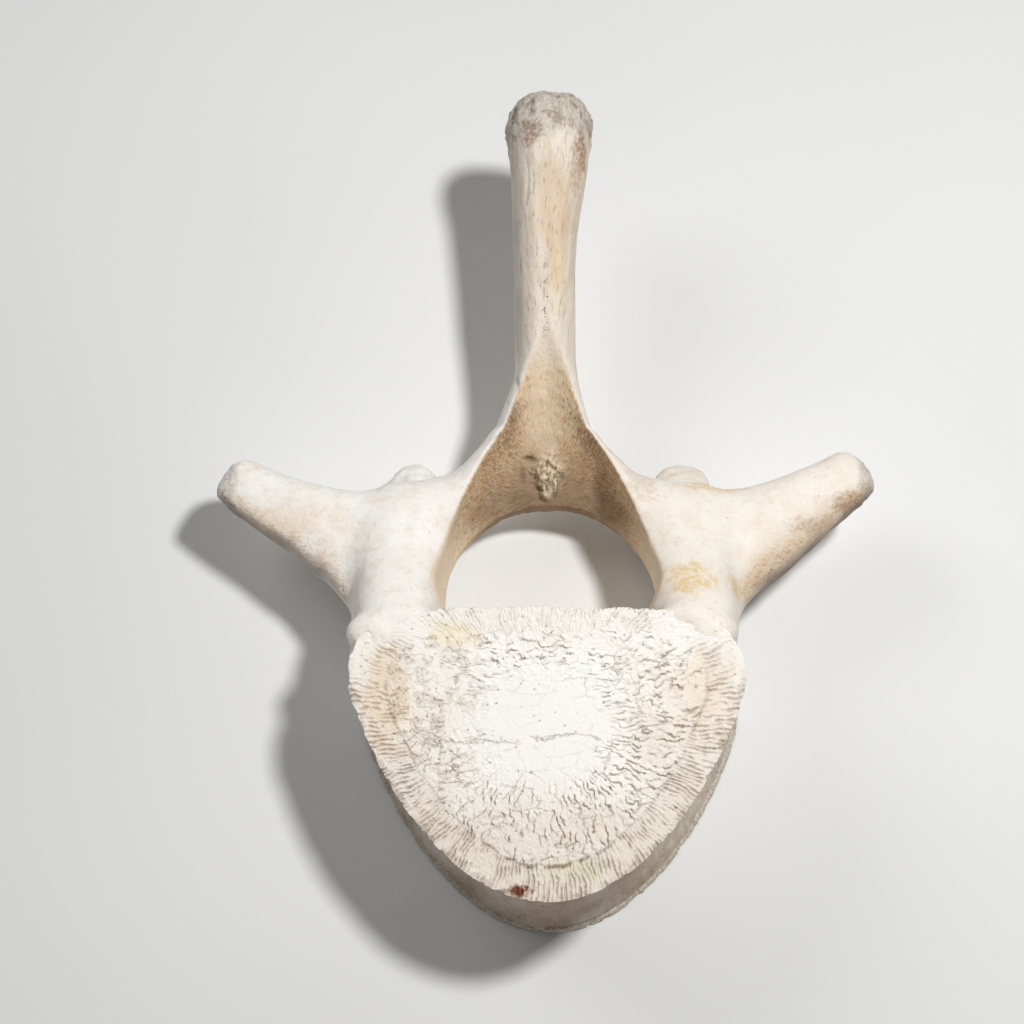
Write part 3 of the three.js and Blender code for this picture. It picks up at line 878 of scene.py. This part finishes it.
class Value:
    """A socket of a material's nodes. An expression on values adds Math nodes for numbers;
    colours and places go through the board's own methods."""

    def __init__(self, board, socket):
        self.board, self.socket = board, socket

    def __add__(self, other):
        return self.board.maths("ADD", self, other)

    def __sub__(self, other):
        return self.board.maths("SUBTRACT", self, other)

    def __mul__(self, other):
        return self.board.maths("MULTIPLY", self, other)

    def __rsub__(self, other):
        return self.board.maths("SUBTRACT", other, self)

    __radd__ = __add__
    __rmul__ = __mul__


class Board:
    """A material and the means to add its nodes."""

    def __init__(self, name):
        self.material = bpy.data.materials.new(name)
        self.material.use_nodes = True
        self.nodes = self.material.node_tree.nodes
        self.links = self.material.node_tree.links
        self.shader = self.nodes["Principled BSDF"]
        self.place = Value(self, self.nodes.new("ShaderNodeTexCoord").outputs["Object"])
        split = self.node("ShaderNodeSeparateXYZ", {}, {0: self.place})
        self.axes = [Value(self, out) for out in split.outputs]     # in metres

    def node(self, kind, settings, inputs):
        """A node of one type: its settings first, then the values or links of its sockets."""
        made = self.nodes.new(kind)
        for key, value in settings.items():
            setattr(made, key, value)
        for key, value in inputs.items():
            if isinstance(value, Value):
                self.links.new(value.socket, made.inputs[key])
            else:
                made.inputs[key].default_value = value
        return made

    def maths(self, operation, a, b=0.0):
        return Value(self, self.node("ShaderNodeMath", {"operation": operation}, {0: a, 1: b}).outputs[0])

    def larger(self, a, b):
        return self.maths("MAXIMUM", a, b)

    def ramp(self, value, start, end):
        """0 at start, 1 at end, smooth between; start may be the larger."""
        made = self.node("ShaderNodeMapRange", {"interpolation_type": "SMOOTHSTEP"},
                         {0: value, 1: start, 2: end})
        return Value(self, made.outputs[0])

    def stretched(self, sizes, place=None):
        """The place divided by a size in millimetres, one for all axes or one for each."""
        sizes = (sizes,) * 3 if isinstance(sizes, (int, float)) else sizes
        made = self.node("ShaderNodeVectorMath", {"operation": "MULTIPLY"},
                         {0: place or self.place, 1: tuple(1 / (MM * size) for size in sizes)})
        return Value(self, made.outputs[0])

    def noise(self, sizes, detail=3.0, rough=0.55, warp=0.0, place=None):
        """Noise about 0.5, its grain of these sizes in millimetres."""
        made = self.node("ShaderNodeTexNoise", {},
                         {"Vector": self.stretched(sizes, place), "Scale": 1.0, "Detail": detail,
                          "Roughness": rough, "Distortion": warp})
        return Value(self, made.outputs[0])

    def patches(self, sizes, start, end, *noise):
        """Noise made into patches with soft borders: 0 where it is at start, 1 at end."""
        return self.ramp(self.noise(sizes, *noise), start, end)

    def dots(self, sizes, start, end):
        """Round dots, one at a random place in each cell: 1 within `end` cells of its middle."""
        made = self.node("ShaderNodeTexVoronoi", {}, {"Vector": self.stretched(sizes), "Scale": 1.0})
        return self.ramp(Value(self, made.outputs["Distance"]), start, end)

    def layers(self, name):
        """The four numbers of one of the piece's own attributes."""
        held = self.node("ShaderNodeAttribute", {"attribute_name": name}, {})
        parts = self.node("ShaderNodeSeparateColor", {}, {0: Value(self, held.outputs["Color"])})
        return [Value(self, out) for out in (*parts.outputs, held.outputs["Alpha"])]

    def blend(self, factor, a, b):
        """Colour a turning into colour b."""
        made = self.node("ShaderNodeMix", {"data_type": "RGBA"}, {0: factor, 6: a, 7: b})
        return Value(self, made.outputs[2])

    def coats(self, colour, *coats):
        """Paints laid over a colour in turn, each at its own strength."""
        for strength, paint in coats:
            colour = self.blend(strength, colour, paint)
        return colour

    def spun(self, centre):
        """The place turned about a centre in millimetres: 50 mm times the angle, the distance
        from the centre, and z."""
        dx = self.axes[0] - centre[0] * MM
        dy = self.axes[1] - centre[1] * MM
        angle = self.maths("ARCTAN2", dx, dy)
        far = self.maths("SQRT", dx * dx + dy * dy)
        made = self.node("ShaderNodeCombineXYZ", {}, {0: 0.05 * angle, 1: far, 2: self.axes[2]})
        return Value(self, made.outputs[0])

    def stain(self, centre, radii, ragged=0.5, grain=9.0):
        """A ragged blot round a place in millimetres: 1 less the distance in radii, torn by noise."""
        moved = self.node("ShaderNodeVectorMath", {"operation": "SUBTRACT"},
                          {0: self.place, 1: tuple(c * MM for c in centre)})
        scaled = self.stretched(radii, Value(self, moved.outputs[0]))
        far = self.node("ShaderNodeVectorMath", {"operation": "LENGTH"}, {0: scaled})
        torn = Value(self, far.outputs["Value"]) + ragged * 2 * (self.noise(grain, 3) - 0.5)
        return self.ramp(torn, 1.0, 0.35)

    def finish(self, colour, roughness, height, millimetres=1.0):
        """Colour and roughness to the shader, and the height, in millimetres, as a bump."""
        bump = self.node("ShaderNodeBump", {},
                         {"Strength": 1.0, "Distance": millimetres * MM, "Height": height})
        self.links.new(colour.socket, self.shader.inputs["Base Color"])
        self.links.new(roughness.socket, self.shader.inputs["Roughness"])
        self.links.new(bump.outputs[0], self.shader.inputs["Normal"])
        self.shader.inputs["Specular IOR Level"].default_value = 0.3
        return self.material


def shade(red, green, blue):
    """A display colour, 0 to 255, as the linear colour that shaders use."""
    parts = np.array([red, green, blue]) / 255
    linear = np.where(parts <= 0.04045, parts / 12.92, ((parts + 0.055) / 1.055) ** 2.4)
    return (*linear.tolist(), 1.0)


CHALK = shade(246, 244, 240)
IVORY = shade(236, 227, 214)
PEACH = shade(230, 204, 172)
TAN = shade(216, 190, 156)
OCHRE = shade(222, 188, 118)
SPONGE = shade(214, 174, 122)
UMBER = shade(112, 78, 48)
ASH = shade(168, 162, 152)
# Near black, painted as shade in pits, pores and small dents.
PIT_SHADE = shade(46, 36, 28)
RUST = shade(112, 46, 10)


# Blots of the skin, and two of painted shade under the right process: centre and half sizes in millimetres,
# strength and colour.
BLOTS_AND_SHADE = [
    ((119, 152, 160), (24, 22, 40), 0.6, OCHRE), ((160, 150, 130), (11, 15, 50), 0.5, OCHRE),
    # The second here and the next are painted shade under the right process.
    ((148, 248, 110), (36, 9, 60), 0.5, OCHRE), ((262, 230, 100), (28, 15, 70), 0.5, shade(156, 124, 94)),
    ((228, 208, 100), (30, 12, 70), 0.4, shade(160, 128, 98)),
    ((-250, 262, 100), (12, 10, 40), 0.3, PEACH), ((-215, 215, 120), (50, 22, 40), 0.35, PEACH),
    ((-144, 230, 110), (14, 10, 40), 0.35, PEACH), ((-14, 545, 195), (14, 15, 30), 0.6, shade(138, 112, 90)),
    ((34, 536, 184), (7, 22, 40), 0.65, shade(128, 84, 50)),
    ((30, 520, 184), (10, 34, 40), 0.5, shade(176, 142, 108)),
    ((84, 246, 120), (16, 26, 60), 0.4, shade(200, 180, 152)), ((12, 420, 168), (12, 50, 20), 0.3, OCHRE),
]
# Brown places of the hollow: centre, half sizes and raggedness.
HOLLOW_BROWNS = [
    ((-34, 304, 110), (22, 38, 60), 0.5), ((42, 300, 110), (18, 36, 60), 0.5),
    ((-17, 246, 85), (20, 15, 60), 0.4), ((28, 243, 85), (22, 15, 60), 0.4),
]
# Tints of the end faces: centre, half sizes, strength and colour.
FACE_TINTS = [
    ((-128, 46, 180), (26, 62, 90), 0.5, PEACH), ((126, 55, 180), (22, 40, 90), 0.35, PEACH),
    ((-76, 98, 180), (30, 16, 90), 0.35, shade(236, 214, 150)),
    ((20, -92, 180), (34, 12, 90), 0.25, shade(206, 208, 150)),
]


# Where the colours of the skin set in, in metres.
SPINE_STREAKS = (0.315, 0.40)
SPINE_GREY = (-0.004, -0.026)
# Painted shade deep in the hollow, over the canal's roof.
HOLLOW_SHADE_DEPTH = (0.112, 0.070)
HOLLOW_SHADE_ROOF = (0.205, 0.235)
# Painted light low down in the hollow, on the canal's walls.
HOLLOW_PAINTED_LIGHT = (0.240, 0.175)
# Painted shade on the wall round the body: towards the keel, and at the floor.
WALL_SHADE_LOW = (-0.03, -0.10)
WALL_SHADE_AT_FLOOR = (0.045, 0.0)


def ivory(board, clouds):
    """Chalk to the left and ivory to the right, which is painted light: the left, away from the key lamp, is
    made whiter. With tan blushes and a web of fine stains.
    """
    # Painted light: whiter towards the left, the side away from the key lamp; the clouds are the bone's own
    # tone.
    warmer = 0.15 + 0.55 * board.ramp(board.axes[0], -0.10, 0.10) + 0.3 * clouds
    return board.coats(
        board.blend(warmer, CHALK, IVORY),
        (0.3 * board.patches(17, 0.45, 0.66, 5, 0.65), shade(226, 204, 178)),
        (0.2 * board.patches((6, 4, 5), 0.54, 0.66, 6, 0.7, 0.6), shade(176, 148, 120)),
    )


def spine_coats(board, colour, up_spine, cracks):
    """Tan streaks, an amber blush, a greyer left side and fine dark cracks up the spine."""
    streaks = board.patches((8, 95, 8), 0.42, 0.68, 4, 0.6)
    return board.coats(
        colour,
        (up_spine * (0.45 + 0.45 * streaks), shade(214, 197, 174)),
        (0.5 * board.stain((9, 475, 180), (24, 62, 40), 0.35, (10, 60, 10)), shade(206, 172, 134)),
        (0.4 * up_spine * board.ramp(board.axes[0], *SPINE_GREY), shade(186, 176, 166)),
        (0.3 * up_spine * cracks, UMBER),
    )


def hollow_colour(board, mottle, hair, porous):
    """The spongy wall of the arch's hollow: tan clouds, brown at both sides, a pale strip up
    the middle, light and dark hairs, painted shade in its depth over the canal's roof, and painted light low
    down."""
    x, y, z = board.axes
    torn = 0.03 * (board.noise(11, 4, 0.65) - 0.5)
    strip = board.ramp(board.maths("ABSOLUTE", x) + torn, 0.028, 0.006) * board.ramp(y + torn, 0.266, 0.300)
    browned = 0.0
    for place in HOLLOW_BROWNS:
        browned = board.larger(browned, board.stain(*place, 7))
    return board.coats(
        board.blend(board.ramp(mottle, 0.36, 0.66), SPONGE, TAN),
        (0.6 * porous * (1 - 0.7 * strip), shade(166, 124, 80)),
        (0.6 * browned, shade(138, 98, 62)),
        (0.8 * strip, shade(232, 210, 182)),
        (board.ramp(hair, 0.5, 0.62) * (0.6 - 0.3 * strip), shade(240, 222, 190)),
        (board.ramp(hair, 0.49, 0.36) * (0.8 - 0.5 * strip), shade(132, 92, 54)),
        # Painted shade deep in the hollow, over the canal's roof.
        (0.65 * board.ramp(z, *HOLLOW_SHADE_DEPTH) * board.ramp(y, *HOLLOW_SHADE_ROOF), shade(104, 74, 48)),
        # Painted light low down on the canal's walls.
        (0.85 * board.ramp(y, *HOLLOW_PAINTED_LIGHT), shade(248, 230, 206)),
    )


def process_coats(board, colour, mottle, wrinkles, ridge, under):
    """Tan along the lower edge of the processes, partly their own tan and partly painted shade where the
    surface turns down; brown wrinkles; and painted shade underneath, darker on the right.
    """
    right = board.ramp(board.axes[0], -0.05, 0.05)
    # Painted shade on the undersides of the processes, darker on the right one.
    underside_shade = under * (0.55 + 0.35 * mottle + 0.15 * right)
    return board.coats(
        colour,
        # Tan along the lower edge: the bone's tan, and painted shade where the surface turns down.
        (ridge * (0.35 + 0.3 * board.ramp(mottle, 0.4, 0.62) + 0.35 * right), shade(206, 178, 146)),
        (ridge * 0.55 * board.ramp(wrinkles, 0.52, 0.66), shade(128, 98, 72)),
        (underside_shade, shade(146, 124, 104)),
        (0.4 * underside_shade * right, shade(100, 78, 60)),
    )


def wall_coats(board, colour, wall):
    """The weathered wall round the body: drips of two browns, painted shade towards the keel and where it
    meets the floor, with fissures.
    """
    y, z = board.axes[1:]
    side = board.coats(
        shade(222, 210, 192),
        (board.patches((6, 6, 60), 0.36, 0.7, 5, 0.7), shade(184, 164, 140)),
        # Painted shade: darker towards the keel, and at the cranial end where the wall meets the floor.
        (0.75 * board.ramp(y, *WALL_SHADE_LOW), shade(146, 114, 84)),
        (0.4 * board.ramp(z, *WALL_SHADE_AT_FLOOR), shade(108, 84, 62)),
    )
    fissures = board.patches((3.2, 3.2, 26), 0.6, 0.7, 4, 0.65) * board.patches(34, 0.42, 0.6, 2)
    return board.coats(
        colour,
        (wall * (0.6 + 0.3 * board.patches((30, 30, 70), 0.3, 0.7, 4)), side),
        (0.6 * wall * fissures, shade(104, 76, 52)),
    )


def dry_bone():
    """The skin: chalk and ivory in broad clouds, with painted light making the left whiter, streaks
    along the spine, brown spongy walls in the hollow of the arch with painted shade deep in it and
    painted light low down, a pale knob there, grey crust at the ends of the processes, painted
    shade under the processes, a weathered wall round the body with painted shade low down, blots
    and painted shade under the right process, and painted shade in the pores, pits and grooves."""
    board = Board("dry_bone")
    hollow, crust, wall, under = board.layers("kinds")
    dark, porous, ridge, knob = board.layers("marks")
    clouds = board.patches(60, 0.42, 0.7)
    up_spine = board.ramp(board.axes[1], *SPINE_STREAKS)
    cracks = board.patches((2.0, 120, 2.0), 0.57, 0.7, 2)
    hair = board.noise((1.5, 6.5, 4.0), 5, 0.7, 0.4, board.spun((4, 258)))
    mottle = board.noise(15, 4, 0.6)
    wrinkles = board.noise((5, 2.2, 2.2), 5, 0.7)
    pale = board.patches((2.5, 5, 4), 0.38, 0.56, 4, 0.65)
    crusty = crust * (1 - knob)

    colour = spine_coats(board, ivory(board, clouds), up_spine, cracks)
    colour = board.coats(
        colour,
        (hollow, hollow_colour(board, mottle, hair, porous)),
        (0.85 * knob * pale, shade(244, 230, 204)),
        (0.5 * knob * (1 - pale), shade(128, 96, 64)),
    )
    colour = process_coats(board, colour, mottle, wrinkles, ridge, under)
    colour = board.coats(
        colour,
        (crusty * (0.25 + 0.4 * board.patches(2.6, 0.42, 0.62, 5, 0.75)), ASH),
        (0.55 * crusty * board.patches(3.6, 0.42, 0.3, 4, 0.7), shade(98, 80, 64)),
    )
    colour = wall_coats(board, colour, wall)
    speckle = 0.4 + 0.6 * board.patches(3.4, 0.42, 0.56, 4, 0.7)
    # Blots, and painted shade under the right process.
    for centre, radii, strength, paint in BLOTS_AND_SHADE:
        blot = 1.25 * strength * speckle * board.stain(centre, radii, 0.9, 8)
        colour = board.blend(blot, colour, paint)

    # Pores: dots with a small dent, their near black painted as shade.
    fine = board.dots(2.2, 0.38, 0.18) * board.patches(9, 0.42, 0.56, 2)
    sparse = board.dots(6.5, 0.1, 0.05) * board.patches(30, 0.52, 0.64, 2)
    holes = board.larger(porous * fine * (1 - crusty), sparse * 0.7)
    holes = board.larger(holes, (0.7 * wall * board.patches(26, 0.48, 0.62, 3, 0.6) + 0.3 * ridge) * fine)
    # Painted shade: near black in the pores, umber where the sculpt sinks in.
    colour = board.coats(colour, (0.85 * holes, PIT_SHADE), (0.7 * dark, UMBER))

    roughness = 0.62 + 0.2 * clouds + 0.12 * hollow
    height = (0.2 * board.noise(1.6, 4, 0.6) + 0.9 * board.noise(7, 5, 0.65) + 0.6 * hollow * hair
              + 0.3 * up_spine * board.noise((1.8, 30, 1.8), 3) - 0.3 * up_spine * cracks
              + 0.9 * crust * board.noise(2.6, 4, 0.75) + 0.6 * wall * board.noise((3, 3, 9), 4, 0.65)
              + 1.1 * ridge * wrinkles - 0.8 * holes)
    return board.finish(colour, roughness, height)


def growth_face(name):
    """The end faces: chalk white, warmer towards the rim, with painted shade, brown to near black,
    in the cracks, the feet of the scales and the grooves between the ridges, painted shade in the
    pits and small dents, and a few faint tints."""
    board = Board(name)
    lines, pits, outer, rim = board.layers("growth")
    x, y, _ = board.axes
    clouds = board.patches(34, 0.36, 0.66)
    away = board.larger(board.maths("ABSOLUTE", x), board.maths("ABSOLUTE", y - 0.03))
    white = board.larger(0.8 * board.ramp(away, 0.09, 0.04), 0.6 * board.ramp(y, 0.06, 0.10))
    colour = board.coats(
        board.blend(0.1 + 0.35 * clouds + 0.2 * outer, shade(243, 238, 230), shade(230, 216, 198)),
        (0.5 * board.ramp(y, 0.05, -0.10), shade(219, 208, 193)),
        (white, CHALK),
    )
    for centre, radii, strength, paint in FACE_TINTS:
        colour = board.blend(strength * board.stain(centre, radii, 0.35, 24), colour, paint)
    # Two browns of painted shade for the grooves.
    groove_shade = board.blend(board.patches(20, 0.4, 0.6, 2), shade(152, 116, 80), shade(108, 84, 60))
    # Small dents, painted near black as shade.
    specks = board.dots(5.4, 0.11, 0.05) * board.patches(16, 0.5, 0.6, 2)
    colour = board.coats(
        colour,
        # Painted shade in the grooves, brown, and near black in flecks.
        (lines * (0.5 + 0.5 * board.patches(1.9, 0.46, 0.62, 4, 0.7)), groove_shade),
        (0.8 * lines * board.patches(2.3, 0.53, 0.63, 3, 0.7), shade(66, 52, 38)),
        # Painted shade in the pits.
        (0.85 * pits, PIT_SHADE),
        (rim * (0.3 + 0.5 * board.patches(2.8, 0.42, 0.62, 4, 0.7)), shade(150, 134, 112)),
        (0.95 * board.stain((-22, -109, 178), (13, 6, 20), 0.8, 4), RUST),
        (0.7 * specks, PIT_SHADE),
    )
    roughness = 0.8 + 0.1 * clouds
    height = 0.45 * board.noise(1.5, 4, 0.7) + 0.5 * board.noise(4.5, 4, 0.65) - 0.4 * lines - 0.5 * specks
    return board.finish(colour, roughness, height)


# ---- building ----

SPINE_CUT = (304.0, 94.0)              # y and z of the plane that parts off the spine
SPINE_CUT_SLOPE = (0.975, 0.22)
ARCH_CUT = 126.0                       # level between body and arch
PROCESS_CUT = 168.0                    # distance of the processes' cuts from the middle
ARCH_HEARTS = [(0, 307, 50), (-7, 297, 50), (7, 297, 50)]      # in the bone under the arch's hollow
HEART_DEPTH = RIM_DEPTH + 8.0          # of the end faces' hearts, inside the body


def build_skin(material):
    """The sculpted skin in seven closed pieces, each standing for its nodes."""
    stands_for = {
        "spine_skin": ("neural_spine",),
        "left_process_skin": ("transverse_process_left",),
        "right_process_skin": ("transverse_process_right",),
        "left_arch_skin": ("pedicle_left", "lamina_left", "metapophysis_left"),
        "right_arch_skin": ("pedicle_right", "lamina_right", "metapophysis_right"),
        "left_body_skin": ("centrum",),
        "right_body_skin": ("centrum",),
    }
    names = list(stands_for)
    number = {name: place for place, name in enumerate(names)}
    skin = draw_skin()
    colours = sculpt(skin)
    x, y, z = skin.points[skin.quads].mean(axis=1).T
    over_cut = (y - SPINE_CUT[0]) * SPINE_CUT_SLOPE[0] + (z - SPINE_CUT[1]) * SPINE_CUT_SLOPE[1] > 0
    region = np.empty(len(x), int)
    in_arch = y > ARCH_CUT
    in_process = in_arch & (np.abs(x) > PROCESS_CUT)
    for side, on_side in (("left", x < 0), ("right", x >= 0)):
        region[on_side] = number[f"{side}_body_skin"]
        region[on_side & in_arch] = number[f"{side}_arch_skin"]
        region[on_side & in_process] = number[f"{side}_process_skin"]
    region[over_cut] = number["spine_skin"]
    for piece in make_pieces(skin.points, skin.quads, colours, region, names, ARCH_HEARTS):
        piece.data.materials.append(material)
        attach(piece, "root")
        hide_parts(*stands_for[piece.name])


def build_faces(material):
    """The two end faces, the caudal one in two halves."""
    points, quads, colours = end_face(True, FACE_GRID + 1, SEED + 100)
    columns = np.arange(len(quads)) // FACE_GRID
    halves = np.where(columns < FACE_GRID // 2, 0, 1)
    heart = (*FACE_CENTRE, LENGTH - HEART_DEPTH)
    names = ["caudal_face_left", "caudal_face_right"]
    made = make_pieces(points, quads, colours, halves, names, [heart])
    points, quads, colours = end_face(False, FACE_GRID * 2 // 3, SEED + 200)
    heart = (CRANIAL_SHIFT, FACE_CENTRE[1], HEART_DEPTH)
    made += make_pieces(points, quads, colours, np.zeros(len(quads), int), ["cranial_face"], [heart])
    for piece in made:
        piece.data.materials.append(material)
        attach(piece, "root")
        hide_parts("centrum")


# ---- floor, light and camera ----

FLOOR_HALF = 6.0
LAMP_TARGET = (0.0, 0.2, 0.1)
LAMPS = [       # name, direction, distance, size and watts
    ("key", (0.35, 0.1, 1.0), 2.2, 0.25, 41),
    ("fill", (-0.8, 0.6, 0.9), 3.0, 1.6, 19),
    ("bounce", (0.1, -1.0, 0.3), 2.2, 1.4, 4),
]
SURROUNDING = 0.10
LENS, SENSOR = 75.0, 36.0
CAMERA_TILT = math.radians(17.6)         # from straight down, towards the belly side
CAMERA_AIM = (-0.028, 0.193)             # right of and up from the middle of the caudal face
CAMERA_DISTANCE = 1.706


def floor_material():
    """Matt and nearly white, with faint clouds."""
    board = Board("pale_floor")
    colour = board.blend(board.patches(900, 0.3, 0.7, 2), shade(232, 232, 231), shade(226, 226, 225))
    roughness = 0.85 + 0.1 * board.noise(300, 2)
    return board.finish(colour, roughness, board.noise(2.0, 2), 0.02)


def build_stage():
    """A pale floor, a soft key light from the upper right, a fill, a low light from the keel's
    side and a white surrounding."""
    mesh = bpy.data.meshes.new("floor")
    low, high = -FLOOR_HALF, FLOOR_HALF
    corners = [(low, low, 0), (high, low, 0), (high, high, 0), (low, high, 0)]
    mesh.from_pydata(corners, [], [(0, 1, 2, 3)])
    floor = bpy.data.objects.new("floor", mesh)
    floor.data.materials.append(floor_material())
    bpy.context.collection.objects.link(floor)

    for name, direction, distance, size, watts in LAMPS:
        light = bpy.data.lights.new(name, "AREA")
        light.shape = "DISK"
        light.size = size
        light.energy = watts
        lamp = bpy.data.objects.new(name, light)
        away = Vector(direction).normalized()
        facing = away.to_track_quat("Z", "Y").to_matrix().to_4x4()
        lamp.matrix_world = Matrix.Translation(Vector(LAMP_TARGET) + away * distance) @ facing
        bpy.context.collection.objects.link(lamp)
    world = bpy.data.worlds.new("studio")
    world.use_nodes = True
    background = world.node_tree.nodes["Background"].inputs
    background["Color"].default_value = (1.0, 1.0, 1.0, 1.0)
    background["Strength"].default_value = SURROUNDING
    bpy.context.scene.world = world
    bpy.context.scene.view_settings.view_transform = "Standard"


def build_camera():
    """A long lens over the caudal face, tilted from straight down towards the belly side."""
    up = Vector((0, math.cos(CAMERA_TILT), math.sin(CAMERA_TILT)))
    back = Vector((0, -math.sin(CAMERA_TILT), math.cos(CAMERA_TILT)))
    aim = Vector((CAMERA_AIM[0], 0, LENGTH * MM)) + CAMERA_AIM[1] * up
    data = bpy.data.cameras.new("camera")
    data.lens, data.sensor_width = LENS, SENSOR
    camera = bpy.data.objects.new("camera", data)
    facing = Matrix((Vector((1, 0, 0)), up, back)).transposed().to_4x4()
    camera.matrix_world = Matrix.Translation(aim + CAMERA_DISTANCE * back) @ facing
    bpy.context.collection.objects.link(camera)
    bpy.context.scene.camera = camera


build_skin(dry_bone())
build_faces(growth_face("growth_face"))
build_stage()
build_camera()
